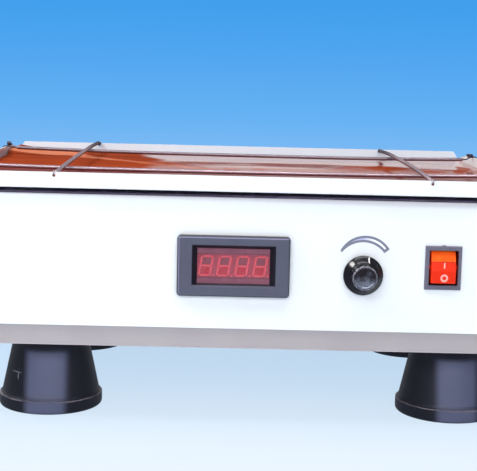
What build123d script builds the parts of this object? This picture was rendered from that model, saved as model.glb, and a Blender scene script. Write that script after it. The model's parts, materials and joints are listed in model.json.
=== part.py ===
from build123d import *
import math
import os

os.makedirs("parts", exist_ok=True)

# Orbital destaining shaker, in millimetres. X runs to the right of someone facing the panel,
# Y to the back and Z up. The origin is on the bench, under the middle of the cover.

# Cover and base pan, folded from sheet steel
cover_width = 430.0
cover_depth = 300.0
cover_height = 94.0
sheet = 1.5
bend_radius = 3.0
cover_corner_radius = 2.5
pan_show = 15.0
pan_rim_height = 34.0
pan_gap = 0.3
hole_clearance = 0.3

# Rubber feet: a bell with a rolled bead, bolted up through its web
foot_height = 57.0
foot_spacing_x = 300.0
front_foot_y = -92.0
rear_foot_y = 112.0
foot_top_radius = 26.5
foot_cone_radius = 35.8
foot_cone_bottom = 13.0
foot_bead_radius = 38.4
foot_bead_top = 9.2
foot_bead_round = 2.6
foot_flare_hollow = 0.4
foot_ring_radius = 27.0
foot_pocket_radius = 17.0
foot_web = 20.0
foot_bolt_radius = 4.0
foot_washer_radius = 12.0
washer_thickness = 1.6
bolt_head_radius = 7.4
bolt_head_height = 5.3
nut_radius = 7.4
nut_height = 6.5

# Tray and its orbit
tray_width = 412.0
tray_depth = 310.0
tray_wall = 11.0
tray_sheet = 1.2
tray_gap = 3.5
tray_bend = 0.9
tray_end_run = 5.4
tray_end_drop = 7.9
side_wall_flat = 216.0
side_wall_corner = 4.5
orbit_radius = 9.0
mat_thickness = 2.5
mat_edge_gap = 0.8
mat_corner_radius = 3.0

# Long close-wound springs that hold the vessels down
spring_radius = 1.6
spring_inset = 75.0
front_spring_left = 8.7
front_spring_middle = 7.1
front_spring_right = 9.0
rear_spring_left = 11.5
rear_spring_middle = 8.0
rear_spring_right = 9.3
left_spring_front = 9.1
left_spring_middle = 13.0
left_spring_rear = 12.0
right_spring_front = 10.5
right_spring_middle = 12.5
right_spring_rear = 10.3
spring_end_gap = 8.0
hook_radius = 0.5
across_hook_rise = 4.2
along_hook_rise = 1.6
hook_bend = 1.0
hook_stand_off = 0.9
hook_hole_radius = 1.1
hook_hole_drop = 2.3

# Five hubs under the tray, each with a bearing that sits on an eccentric pin
idler_spacing_x = 280.0
idler_spacing_y = 176.0
hub_radius = 17.0
hub_drop = 14.0
hub_flange_radius = 25.0
hub_flange_thickness = 2.4
hub_screw_circle = 21.0
hub_screw_radius = 1.5
hub_screw_count = 3
bearing_bore = 5.0
bearing_outer = 13.0
bearing_width = 8.0
bearing_shoulder = 2.0
running_gap = 0.05
hub_sweep_gap = 4.0
pin_top_gap = 3.0

# Cranks
web_gap = 1.5
web_thickness = 8.0
web_radius = 9.5
shaft_collar_radius = 7.0
drive_web_radius = 20.0
drive_shaft_radius = 7.5
counterweight_radius = 62.0
counterweight_thickness = 8.0
counterweight_angle = 150.0
counterweight_hub = 16.0
main_bearing_outer = 16.0
main_bearing_width = 9.0
main_housing_radius = 22.0
main_housing_height = 24.0
main_flange_radius = 34.0
main_screw_circle = 28.0
idler_housing_radius = 17.0
idler_flange_length = 52.0
idler_flange_width = 36.0
idler_screw_spacing = 42.0
housing_flange = 5.0
housing_screw_radius = 2.0
screw_head_radius = 3.5
screw_head_height = 2.4

# Bridge that carries the bearings
plate_end_margin = 28.0
plate_side_margin = 20.0
plate_thickness = 3.0
plate_foot = 16.0
plate_foot_screw_inset = 20.0

# Belt drive and motor
drive_pulley_radius = 40.0
motor_pulley_radius = 10.0
pulley_flange = 2.0
pulley_cheek = 1.5
belt_width = 8.0
belt_side_gap = 0.5
belt_thickness = 1.4
belt_gap = 0.3
pulley_spoke_hole = 9.0
pulley_spoke_circle = 26.0
pulley_gap = 1.5
motor_distance = 96.0
motor_radius = 25.0
motor_floor_gap = 3.5
motor_cap_height = 7.0
motor_cap_step = 1.2
motor_shaft_radius = 3.0
motor_boss_radius = 9.0
motor_plate_size = 72.0
motor_plate_thickness = 3.0
motor_plate_gap = 3.0
standoff_spacing = 58.0
standoff_radius = 3.5

# Control board
board_length = 92.0
board_depth = 70.0
board_thickness = 1.6
board_x = 98.0
board_y = 20.0
board_lift = 8.0
board_hole_inset = 5.0
board_standoff_radius = 3.0
transformer_length = 38.0
transformer_depth = 30.0
transformer_height = 26.0
transformer_core = 12.0
heat_sink_length = 34.0
heat_sink_depth = 14.0
heat_sink_height = 24.0
heat_sink_fins = 6
heat_sink_fin = 1.4
heat_sink_base = 3.0

# Speed meter in the panel
meter_x = -14.6
meter_z = 117.0
meter_width = 79.0
meter_height = 43.0
meter_corner = 2.5
meter_bezel = 5.0
meter_chamfer = 1.6
meter_recess_width = 57.5
meter_recess_height = 29.0
meter_recess_depth = 3.2
window_width = 51.0
window_height = 25.0
window_thickness = 1.5
display_height = 19.0
display_depth = 7.0
meter_case_width = 74.0
meter_case_height = 38.0
meter_case_depth = 26.0
clip_length = 20.0
clip_width = 10.0
clip_thickness = 0.8
clip_spread = 3.0

# Speed knob on its potentiometer
knob_x = 76.5
knob_z = 112.6
knob_radius = 14.0
knob_skirt = 2.4
knob_cone_top = 6.4
knob_shoulder_radius = 10.8
knob_grip_radius = 9.6
knob_grip_top_radius = 9.0
knob_height = 14.6
knob_gap = 0.8
knob_flutes = 18
knob_flute_radius = 0.9
knob_cap_radius = 7.6
knob_cap_thickness = 0.9
knob_cap_proud = 0.3
knob_recess_radius = 9.0
knob_recess_depth = 5.6
pot_shaft_radius = 3.0
pot_shaft_engage = 5.5
pot_bush_radius = 4.7
pot_bush_length = 6.0
pot_nut_radius = 7.2
pot_nut_height = 2.4
pot_body_radius = 12.0
pot_body_depth = 10.0
pot_shaft_inside = 6.0
pot_lug_width = 14.0
pot_lug_length = 8.0
pot_lug_thickness = 1.6

# Rocker switch
switch_x = 132.6
switch_z = 119.0
switch_width = 25.6
switch_height = 31.0
switch_bezel = 1.9
switch_chamfer = 0.6
rocker_width = 19.4
rocker_side_gap = 0.35
rocker_end = 11.6
rocker_end_height = 3.4
rocker_crest = 3.4
rocker_crest_height = 5.6
rocker_back_half = 10.4
rocker_back = 3.4
rocker_tilt = 12.0
rocker_pivot_depth = 2.0
rocker_swing_gap = 0.35
rocker_trunnion_radius = 1.5
rocker_trunnion_length = 0.9
switch_body_wall = 1.2
switch_body_depth = 21.0
switch_cavity_depth = 9.5
switch_tab_length = 8.0
switch_tab_width = 6.3
switch_tab_thickness = 0.8
switch_tab_spacing = 9.0

# Mains inlet and fuse holder in the rear wall
inlet_x = 120.0
inlet_z = 112.0
inlet_flange_width = 33.0
inlet_flange_height = 26.0
inlet_flange = 3.0
inlet_corner = 3.0
inlet_cavity_width = 24.6
inlet_cavity_height = 16.6
inlet_cavity_corner = 4.0
inlet_cavity_depth = 17.0
inlet_wall = 1.5
inlet_pin_width = 2.0
inlet_pin_height = 4.0
inlet_pin_length = 15.0
inlet_pin_spacing = 7.0
inlet_pin_drop = 0.6
inlet_earth_rise = 4.6
fuse_x = 72.0
fuse_z = 112.0
fuse_flange_radius = 9.0
fuse_flange = 3.0
fuse_body_radius = 6.2
fuse_body_depth = 32.0
fuse_bore = 5.2
fuse_cap_radius = 7.0
fuse_cap_height = 11.0
fuse_cap_round = 1.2
fuse_plug_radius = 4.9
fuse_plug_length = 8.0
fuse_nut_radius = 9.0
fuse_nut_height = 3.5
vent_count = 12
vent_pitch = 8.0
vent_width = 3.0
vent_height = 34.0
vent_x = -70.0
vent_z = 122.0

# Cover screws along both sides
cover_screw_radius = 2.0
cover_screw_z = 82.0
cover_screw_spacing = 220.0
cover_screw_length = 7.0
panel_clearance = 0.3

# Heights, worked from the bench up and from the tray down
skirt_bottom = foot_height + pan_show
cover_top = skirt_bottom + cover_height
pan_floor = foot_height + sheet
tray_bottom = cover_top + tray_gap
tray_floor = tray_bottom + tray_sheet
hub_bottom = tray_bottom - hub_drop
web_top = hub_bottom - web_gap
web_bottom = web_top - web_thickness
housing_top = web_bottom - counterweight_thickness - web_gap
plate_top = housing_top - housing_flange
plate_bottom = plate_top - plate_thickness
housing_bottom = housing_top - main_housing_height
pulley_height = belt_width + 2 * belt_side_gap + 2 * pulley_cheek
pulley_top = housing_bottom - pulley_gap
pulley_bottom = pulley_top - pulley_height
belt_bottom = pulley_bottom + pulley_cheek + belt_side_gap
motor_plate_top = pulley_bottom - motor_plate_gap
motor_top = motor_plate_top - motor_plate_thickness
motor_bottom = pan_floor + motor_floor_gap
board_bottom = pan_floor + board_lift
board_top = board_bottom + board_thickness
pin_top = tray_bottom - pin_top_gap

# Places in plan
tray_x = -orbit_radius
motor_x = -motor_distance
idler_points = [
    (sx * idler_spacing_x / 2, sy * idler_spacing_y / 2) for sy in (-1, 1) for sx in (-1, 1)
]
pivot_points = [(0, 0)] + idler_points
hub_points = [(x + tray_x, y) for x, y in pivot_points]
foot_points = [
    (sx * foot_spacing_x / 2, y) for y in (front_foot_y, rear_foot_y) for sx in (-1, 1)
]
corner_names = ["front_left", "front_right", "rear_left", "rear_right"]
plate_length = idler_spacing_x + 2 * plate_end_margin
plate_depth = idler_spacing_y + 2 * plate_side_margin
plate_foot_x = plate_length / 2 + plate_foot / 2
plate_screw_y = plate_depth / 2 - plate_foot_screw_inset
plate_screw_points = [
    (sx * plate_foot_x, sy * plate_screw_y) for sx in (-1, 1) for sy in (-1, 1)
]
board_hole_x = board_length / 2 - board_hole_inset
board_hole_y = board_depth / 2 - board_hole_inset
board_hole_points = [
    (board_x + sx * board_hole_x, board_y + sy * board_hole_y)
    for sx in (-1, 1)
    for sy in (-1, 1)
]
opening_radius = hub_radius + orbit_radius + hub_sweep_gap
panel = Plane(origin=(0, -cover_depth / 2, 0), x_dir=(1, 0, 0), z_dir=(0, -1, 0))
rear = Plane(origin=(0, cover_depth / 2, 0), x_dir=(-1, 0, 0), z_dir=(0, 1, 0))
switch_case_width = rocker_width + 2 * rocker_side_gap + 2 * switch_body_wall
switch_cavity_half = math.hypot(rocker_end, rocker_end_height) + rocker_swing_gap
switch_case_height = 2 * switch_cavity_half + 2 * switch_body_wall
inlet_case_width = inlet_cavity_width + 2 * inlet_wall
inlet_case_height = inlet_cavity_height + 2 * inlet_wall


def save(piece, name):
    """Label a finished piece and write it to its own file."""
    piece.part.label = name
    export_step(piece.part, f"parts/{name}.step")


def turning_plane(x, y, z=0.0):
    """Upright plane through a vertical axis, for profiles that are revolved about it."""
    return Plane(origin=(x, y, z), x_dir=(1, 0, 0), z_dir=(0, -1, 0))


# Cover: a five-sided shell with the panel openings, hub openings and rear vents
with BuildPart() as cover:
    with BuildSketch(Plane.XY.offset(skirt_bottom)):
        Rectangle(cover_width, cover_depth)
    extrude(amount=cover_height)
    fillet(cover.edges().filter_by(Axis.Z), radius=cover_corner_radius)
    fillet(cover.faces().sort_by(Axis.Z)[-1].edges(), radius=bend_radius)
    offset(amount=-sheet, openings=cover.faces().sort_by(Axis.Z)[0])
    with BuildSketch(Plane.XY.offset(cover_top)):
        with Locations(*pivot_points):
            Circle(opening_radius)
    extrude(amount=-2 * sheet, mode=Mode.SUBTRACT)
    with BuildSketch(panel):
        with Locations((meter_x, meter_z)):
            Rectangle(meter_case_width + 2 * panel_clearance, meter_case_height + 2 * panel_clearance)
        with Locations((knob_x, knob_z)):
            Circle(pot_bush_radius + panel_clearance)
        with Locations((switch_x, switch_z)):
            Rectangle(switch_case_width + 2 * panel_clearance, switch_case_height + 2 * panel_clearance)
    extrude(amount=-2 * sheet, mode=Mode.SUBTRACT)
    with BuildSketch(rear):
        with Locations((-inlet_x, inlet_z)):
            Rectangle(inlet_case_width + 2 * panel_clearance, inlet_case_height + 2 * panel_clearance)
        with Locations((-fuse_x, fuse_z)):
            Circle(fuse_body_radius + panel_clearance)
        with Locations((-vent_x, vent_z)):
            with GridLocations(vent_pitch, vent_pitch, vent_count, 1):
                SlotOverall(vent_height, vent_width, rotation=90)
    extrude(amount=-2 * sheet, mode=Mode.SUBTRACT)
    with BuildSketch(Plane.YZ):
        with Locations((-cover_screw_spacing / 2, cover_screw_z), (cover_screw_spacing / 2, cover_screw_z)):
            Circle(cover_screw_radius + hole_clearance)
    extrude(amount=cover_width, both=True, mode=Mode.SUBTRACT)
save(cover, "cover")

# Base pan: a shallow tray whose rim stands inside the cover's skirt
pan_width = cover_width - 2 * sheet - 2 * pan_gap
pan_depth = cover_depth - 2 * sheet - 2 * pan_gap
with BuildPart() as base_pan:
    with BuildSketch(Plane.XY.offset(foot_height)):
        Rectangle(pan_width, pan_depth)
    extrude(amount=pan_rim_height)
    fillet(base_pan.edges().filter_by(Axis.Z), radius=cover_corner_radius - sheet / 2)
    fillet(base_pan.faces().sort_by(Axis.Z)[0].edges(), radius=sheet + 0.3)
    offset(amount=-sheet, openings=base_pan.faces().sort_by(Axis.Z)[-1])
    with BuildSketch(Plane.XY.offset(foot_height)):
        with Locations(*foot_points):
            Circle(foot_bolt_radius + hole_clearance)
        with Locations(*plate_screw_points):
            Circle(housing_screw_radius + hole_clearance)
    extrude(amount=2 * sheet, mode=Mode.SUBTRACT)
    with BuildSketch(Plane.YZ):
        with Locations((-cover_screw_spacing / 2, cover_screw_z), (cover_screw_spacing / 2, cover_screw_z)):
            Circle(cover_screw_radius + hole_clearance)
    extrude(amount=cover_width, both=True, mode=Mode.SUBTRACT)
save(base_pan, "base_pan")

# Cover screws, driven into the pan's rim from both sides
with BuildPart() as cover_screws:
    for side in (-1, 1):
        side_face = Plane(
            origin=(side * cover_width / 2, 0, cover_screw_z), x_dir=(0, side, 0), z_dir=(side, 0, 0)
        )
        with BuildSketch(side_face):
            with GridLocations(cover_screw_spacing, cover_screw_spacing, 2, 1):
                Circle(screw_head_radius)
        extrude(amount=screw_head_height)
        with BuildSketch(side_face):
            with GridLocations(cover_screw_spacing, cover_screw_spacing, 2, 1):
                Circle(cover_screw_radius)
        extrude(amount=-cover_screw_length)
    outer_rims = cover_screws.edges().filter_by(GeomType.CIRCLE).group_by(Axis.X)
    fillet(outer_rims[0] + outer_rims[-1], radius=screw_head_height * 0.6)
save(cover_screws, "cover_screws")

# Feet
foot_web_bottom = foot_height - foot_web
for (foot_x, foot_y), corner in zip(foot_points, corner_names):
    with BuildPart() as foot:
        with BuildSketch(turning_plane(foot_x, foot_y)):
            with BuildLine():
                Polyline(
                    (foot_cone_radius, foot_cone_bottom),
                    (foot_top_radius, foot_height),
                    (foot_bolt_radius + hole_clearance, foot_height),
                    (foot_bolt_radius + hole_clearance, foot_web_bottom),
                    (foot_pocket_radius, foot_web_bottom),
                    (foot_ring_radius, 0),
                    (foot_bead_radius, 0),
                    (foot_bead_radius, foot_bead_top),
                )
                ThreePointArc(
                    (foot_bead_radius, foot_bead_top),
                    (
                        (foot_bead_radius + foot_cone_radius) / 2 - foot_flare_hollow,
                        (foot_bead_top + foot_cone_bottom) / 2 - foot_flare_hollow,
                    ),
                    (foot_cone_radius, foot_cone_bottom),
                )
            make_face()
        revolve(axis=Axis((foot_x, foot_y, 0), (0, 0, 1)))
        bench_rim = foot.edges().group_by(Axis.Z)[0].sort_by(SortBy.RADIUS)[-1]
        fillet(bench_rim, radius=foot_bead_round)
    save(foot, f"foot_{corner}")

# Foot fasteners: a bolt and washer up inside each bell, a nut on the pan
with BuildPart() as foot_washers:
    with BuildSketch(Plane.XY.offset(foot_web_bottom - washer_thickness)):
        with Locations(*foot_points):
            Circle(foot_washer_radius)
            Circle(foot_bolt_radius + hole_clearance, mode=Mode.SUBTRACT)
    extrude(amount=washer_thickness)
save(foot_washers, "foot_washers")

with BuildPart() as foot_bolts:
    with BuildSketch(Plane.XY.offset(foot_web_bottom - washer_thickness - bolt_head_height)):
        with Locations(*foot_points):
            RegularPolygon(radius=bolt_head_radius, side_count=6)
    extrude(amount=bolt_head_height)
    with BuildSketch(Plane.XY.offset(foot_web_bottom - washer_thickness)):
        with Locations(*foot_points):
            Circle(foot_bolt_radius)
    extrude(amount=pan_floor + nut_height + 2 - (foot_web_bottom - washer_thickness))
save(foot_bolts, "foot_bolts")

with BuildPart() as foot_nuts:
    with BuildSketch(Plane.XY.offset(pan_floor)):
        with Locations(*foot_points):
            RegularPolygon(radius=nut_radius, side_count=6)
            Circle(foot_bolt_radius + running_gap, mode=Mode.SUBTRACT)
    extrude(amount=nut_height)
save(foot_nuts, "foot_nuts")

# Bearing bridge: a plate folded down at both ends, standing on outward feet
with BuildPart() as bearing_plate:
    with BuildSketch(Plane.XZ.offset(-plate_depth / 2)):
        with BuildLine():
            Polyline(
                (-plate_length / 2 - plate_foot, pan_floor),
                (-plate_length / 2 + plate_thickness, pan_floor),
                (-plate_length / 2 + plate_thickness, plate_bottom),
                (plate_length / 2 - plate_thickness, plate_bottom),
                (plate_length / 2 - plate_thickness, pan_floor),
                (plate_length / 2 + plate_foot, pan_floor),
                (plate_length / 2 + plate_foot, pan_floor + plate_thickness),
                (plate_length / 2, pan_floor + plate_thickness),
                (plate_length / 2, plate_top),
                (-plate_length / 2, plate_top),
                (-plate_length / 2, pan_floor + plate_thickness),
                (-plate_length / 2 - plate_foot, pan_floor + plate_thickness),
                close=True,
            )
        make_face()
    extrude(amount=plate_depth)
    with BuildSketch(Plane.XY.offset(plate_top)):
        Circle(main_housing_radius + hole_clearance)
        with Locations(*idler_points):
            Circle(idler_housing_radius + hole_clearance)
        with Locations((motor_x, 0)):
            with GridLocations(standoff_spacing, standoff_spacing, 2, 2):
                Circle(housing_screw_radius + hole_clearance)
    extrude(amount=-plate_thickness, mode=Mode.SUBTRACT)
    with BuildSketch(Plane.XY.offset(pan_floor)):
        with Locations(*plate_screw_points):
            Circle(housing_screw_radius + hole_clearance)
    extrude(amount=plate_thickness, mode=Mode.SUBTRACT)
save(bearing_plate, "bearing_plate")

with BuildPart() as plate_screws:
    with BuildSketch(Plane.XY.offset(pan_floor + plate_thickness)):
        with Locations(*plate_screw_points):
            Circle(screw_head_radius)
    extrude(amount=screw_head_height)
    with BuildSketch(Plane.XY.offset(pan_floor + plate_thickness)):
        with Locations(*plate_screw_points):
            Circle(housing_screw_radius)
    extrude(amount=-plate_thickness - sheet)
save(plate_screws, "plate_screws")

# Main bearing housing: flange on the bridge, boss through it, two stepped bearing seats
with BuildPart() as main_bearing_housing:
    with BuildSketch(turning_plane(0, 0)):
        with BuildLine():
            Polyline(
                (main_bearing_outer, housing_bottom),
                (main_housing_radius, housing_bottom),
                (main_housing_radius, plate_top),
                (main_flange_radius, plate_top),
                (main_flange_radius, housing_top),
                (main_bearing_outer, housing_top),
                (main_bearing_outer, housing_top - main_bearing_width),
                (main_bearing_outer - bearing_shoulder, housing_top - main_bearing_width),
                (main_bearing_outer - bearing_shoulder, housing_bottom + main_bearing_width),
                (main_bearing_outer, housing_bottom + main_bearing_width),
                close=True,
            )
        make_face()
    revolve(axis=Axis.Z)
    chamfer(main_bearing_housing.edges().group_by(Axis.Z)[-1].sort_by(SortBy.RADIUS)[-1], length=1)
    with BuildSketch(Plane.XY.offset(housing_top)):
        with PolarLocations(main_screw_circle, 4, start_angle=45):
            Circle(housing_screw_radius + hole_clearance)
    extrude(amount=-housing_flange, mode=Mode.SUBTRACT)
save(main_bearing_housing, "main_bearing_housing")

with BuildPart() as main_bearings:
    for seat_bottom in (housing_bottom, housing_top - main_bearing_width):
        with BuildSketch(Plane.XY.offset(seat_bottom)):
            Circle(main_bearing_outer)
            Circle(drive_shaft_radius + running_gap, mode=Mode.SUBTRACT)
        extrude(amount=main_bearing_width)
save(main_bearings, "main_bearings")

# Idler housings: oval flanges with a bored boss, one at each corner
with BuildPart() as idler_housings:
    with BuildSketch(Plane.XY.offset(plate_top)):
        with Locations(*idler_points):
            SlotOverall(idler_flange_length, idler_flange_width)
    extrude(amount=housing_flange)
    with BuildSketch(Plane.XY.offset(housing_bottom)):
        with Locations(*idler_points):
            Circle(idler_housing_radius)
    extrude(amount=main_housing_height)
    with BuildSketch(Plane.XY.offset(housing_bottom)):
        with Locations(*idler_points):
            Circle(bearing_outer - bearing_shoulder)
    extrude(amount=main_housing_height, mode=Mode.SUBTRACT)
    with BuildSketch(Plane.XY.offset(housing_bottom)):
        with Locations(*idler_points):
            Circle(bearing_outer)
    extrude(amount=bearing_width, mode=Mode.SUBTRACT)
    with BuildSketch(Plane.XY.offset(housing_top)):
        with Locations(*idler_points):
            Circle(bearing_outer)
            with Locations((-idler_screw_spacing / 2, 0), (idler_screw_spacing / 2, 0)):
                Circle(housing_screw_radius + hole_clearance)
    extrude(amount=-bearing_width, mode=Mode.SUBTRACT)
save(idler_housings, "idler_housings")

with BuildPart() as idler_bearings:
    for seat_bottom in (housing_bottom, housing_top - bearing_width):
        with BuildSketch(Plane.XY.offset(seat_bottom)):
            with Locations(*idler_points):
                Circle(bearing_outer)
                Circle(bearing_bore + running_gap, mode=Mode.SUBTRACT)
        extrude(amount=bearing_width)
save(idler_bearings, "idler_bearings")

# Screws that hold the housings to the bridge
idler_screw_points = [
    (x + side * idler_screw_spacing / 2, y) for x, y in idler_points for side in (-1, 1)
]
main_screw_points = [
    (main_screw_circle * math.cos(math.radians(a)), main_screw_circle * math.sin(math.radians(a)))
    for a in (45, 135, 225, 315)
]
with BuildPart() as housing_screws:
    with BuildSketch(Plane.XY.offset(housing_top)):
        with Locations(*idler_screw_points, *main_screw_points):
            RegularPolygon(radius=screw_head_radius, side_count=6)
    extrude(amount=screw_head_height / 2)
    with BuildSketch(Plane.XY.offset(housing_top)):
        with Locations(*idler_screw_points, *main_screw_points):
            Circle(housing_screw_radius)
    extrude(amount=-housing_flange)
save(housing_screws, "housing_screws")

# Drive crank: shaft through the main housing, round web, eccentric pin
with BuildPart() as drive_shaft:
    with BuildSketch(Plane.XY.offset(pulley_bottom)):
        Circle(drive_shaft_radius)
    extrude(amount=web_bottom - pulley_bottom)
    with BuildSketch(Plane.XY.offset(web_bottom)):
        Circle(drive_web_radius)
    extrude(amount=web_thickness)
    with BuildSketch(Plane.XY.offset(web_top)):
        with Locations((tray_x, 0)):
            Circle(bearing_bore)
    extrude(amount=pin_top - web_top)
    chamfer(drive_shaft.edges().group_by(Axis.Z)[-1], length=0.8)
    chamfer(drive_shaft.edges().group_by(Axis.Z)[0], length=0.8)
save(drive_shaft, "drive_shaft")

# Counterweight: a sector opposite the pin, clamped under the web
with BuildPart() as counterweight:
    with BuildSketch(Plane.XY.offset(web_bottom - counterweight_thickness)):
        with BuildLine():
            half_angle = counterweight_angle / 2
            arc = CenterArc((0, 0), counterweight_radius, -half_angle, counterweight_angle)
            Line((0, 0), arc @ 0)
            Line((0, 0), arc @ 1)
        make_face()
        Circle(counterweight_hub)
        Circle(drive_shaft_radius + panel_clearance, mode=Mode.SUBTRACT)
    extrude(amount=counterweight_thickness)
    rim_corners = counterweight.edges().filter_by(Axis.Z).sort_by(Axis.X)[-2:]
    fillet(rim_corners, radius=3)
save(counterweight, "counterweight")

# Drive pulley: a flanged wheel with lightening holes
with BuildPart() as drive_pulley:
    with BuildSketch(turning_plane(0, 0)):
        with BuildLine():
            Polyline(
                (drive_shaft_radius + running_gap, pulley_bottom),
                (drive_pulley_radius + pulley_flange, pulley_bottom),
                (drive_pulley_radius + pulley_flange, pulley_bottom + pulley_cheek),
                (drive_pulley_radius, pulley_bottom + pulley_cheek),
                (drive_pulley_radius, pulley_top - pulley_cheek),
                (drive_pulley_radius + pulley_flange, pulley_top - pulley_cheek),
                (drive_pulley_radius + pulley_flange, pulley_top),
                (drive_shaft_radius + running_gap, pulley_top),
                close=True,
            )
        make_face()
    revolve(axis=Axis.Z)
    with BuildSketch(Plane.XY.offset(pulley_bottom)):
        with PolarLocations(pulley_spoke_circle, 5):
            Circle(pulley_spoke_hole)
    extrude(amount=pulley_height, mode=Mode.SUBTRACT)
save(drive_pulley, "drive_pulley")

# Motor pulley and shaft
with BuildPart() as motor_pulley:
    with BuildSketch(turning_plane(motor_x, 0)):
        with BuildLine():
            Polyline(
                (motor_shaft_radius + running_gap, pulley_bottom),
                (motor_pulley_radius + pulley_flange, pulley_bottom),
                (motor_pulley_radius + pulley_flange, pulley_bottom + pulley_cheek),
                (motor_pulley_radius, pulley_bottom + pulley_cheek),
                (motor_pulley_radius, pulley_top - pulley_cheek),
                (motor_pulley_radius + pulley_flange, pulley_top - pulley_cheek),
                (motor_pulley_radius + pulley_flange, pulley_top),
                (motor_shaft_radius + running_gap, pulley_top),
                close=True,
            )
        make_face()
    revolve(axis=Axis((motor_x, 0, 0), (0, 0, 1)))
save(motor_pulley, "motor_pulley")

motor_shaft_bottom = motor_top - motor_cap_height
with BuildPart() as motor_shaft:
    with BuildSketch(Plane.XY.offset(motor_shaft_bottom)):
        with Locations((motor_x, 0)):
            Circle(motor_shaft_radius)
    extrude(amount=pulley_top + 1 - motor_shaft_bottom)
save(motor_shaft, "motor_shaft")

# Motor: a can with a stepped cap and a boss round its shaft
with BuildPart() as motor:
    with BuildSketch(turning_plane(motor_x, 0)):
        with BuildLine():
            Polyline(
                (0, motor_bottom),
                (motor_radius, motor_bottom),
                (motor_radius, motor_top - motor_cap_height),
                (motor_radius - motor_cap_step, motor_top - motor_cap_height),
                (motor_radius - motor_cap_step, motor_top),
                (motor_boss_radius, motor_top),
                (motor_boss_radius, motor_plate_top),
                (motor_shaft_radius + running_gap, motor_plate_top),
                (motor_shaft_radius + running_gap, motor_shaft_bottom),
                (0, motor_shaft_bottom),
                close=True,
            )
        make_face()
    revolve(axis=Axis((motor_x, 0, 0), (0, 0, 1)))
    fillet(motor.edges().group_by(Axis.Z)[0], radius=2)
save(motor, "motor")

with BuildPart() as motor_plate:
    with BuildSketch(Plane.XY.offset(motor_top)):
        with Locations((motor_x, 0)):
            RectangleRounded(motor_plate_size, motor_plate_size, standoff_radius)
            Circle(motor_boss_radius + hole_clearance, mode=Mode.SUBTRACT)
            with GridLocations(standoff_spacing, standoff_spacing, 2, 2):
                Circle(housing_screw_radius + hole_clearance, mode=Mode.SUBTRACT)
    extrude(amount=motor_plate_thickness)
save(motor_plate, "motor_plate")

with BuildPart() as motor_standoffs:
    with BuildSketch(Plane.XY.offset(motor_plate_top)):
        with Locations((motor_x, 0)):
            with GridLocations(standoff_spacing, standoff_spacing, 2, 2):
                RegularPolygon(radius=standoff_radius, side_count=6)
    extrude(amount=plate_bottom - motor_plate_top)
save(motor_standoffs, "motor_standoffs")

# Belt: one closed loop round both pulleys
with BuildPart() as drive_belt:
    with BuildSketch(Plane.XY.offset(belt_bottom)):
        Circle(drive_pulley_radius + belt_gap + belt_thickness)
        with Locations((motor_x, 0)):
            Circle(motor_pulley_radius + belt_gap + belt_thickness)
        make_hull()
    extrude(amount=belt_width)
    with BuildSketch(Plane.XY.offset(belt_bottom)):
        Circle(drive_pulley_radius + belt_gap)
        with Locations((motor_x, 0)):
            Circle(motor_pulley_radius + belt_gap)
        make_hull()
    extrude(amount=belt_width, mode=Mode.SUBTRACT)
save(drive_belt, "drive_belt")

# Idler cranks: journal, collar, oval web and upper pin
for (pivot_x, pivot_y), corner in zip(idler_points, corner_names):
    with BuildPart() as idler_crank:
        with BuildSketch(Plane.XY.offset(housing_bottom)):
            with Locations((pivot_x, pivot_y)):
                Circle(bearing_bore)
        extrude(amount=web_bottom - housing_bottom)
        with BuildSketch(Plane.XY.offset(housing_top + web_gap)):
            with Locations((pivot_x, pivot_y)):
                Circle(shaft_collar_radius)
        extrude(amount=web_bottom - housing_top - web_gap)
        with BuildSketch(Plane.XY.offset(web_bottom)):
            with Locations((pivot_x + tray_x / 2, pivot_y)):
                SlotCenterToCenter(orbit_radius, 2 * web_radius)
        extrude(amount=web_thickness)
        with BuildSketch(Plane.XY.offset(web_top)):
            with Locations((pivot_x + tray_x, pivot_y)):
                Circle(bearing_bore)
        extrude(amount=pin_top - web_top)
    save(idler_crank, f"idler_crank_{corner}")

# Tray hubs: flanges under the tray with a cup for each bearing
with BuildPart() as tray_hubs:
    with BuildSketch(Plane.XY.offset(tray_bottom - hub_flange_thickness)):
        with Locations(*hub_points):
            Circle(hub_flange_radius)
    extrude(amount=hub_flange_thickness)
    with BuildSketch(Plane.XY.offset(hub_bottom)):
        with Locations(*hub_points):
            Circle(hub_radius)
    extrude(amount=hub_drop)
    with BuildSketch(Plane.XY.offset(hub_bottom)):
        with Locations(*hub_points):
            Circle(bearing_outer)
    extrude(amount=bearing_width, mode=Mode.SUBTRACT)
    with BuildSketch(Plane.XY.offset(hub_bottom)):
        with Locations(*hub_points):
            Circle(bearing_outer - bearing_shoulder)
    extrude(amount=hub_drop, mode=Mode.SUBTRACT)
    with BuildSketch(Plane.XY.offset(tray_bottom)):
        with Locations(*hub_points):
            with PolarLocations(hub_screw_circle, hub_screw_count, start_angle=90):
                Circle(hub_screw_radius + hole_clearance)
    extrude(amount=-hub_flange_thickness, mode=Mode.SUBTRACT)
save(tray_hubs, "tray_hubs")

with BuildPart() as tray_bearings:
    with BuildSketch(Plane.XY.offset(hub_bottom)):
        with Locations(*hub_points):
            Circle(bearing_outer)
            Circle(bearing_bore + running_gap, mode=Mode.SUBTRACT)
    extrude(amount=bearing_width)
save(tray_bearings, "tray_bearings")

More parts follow.
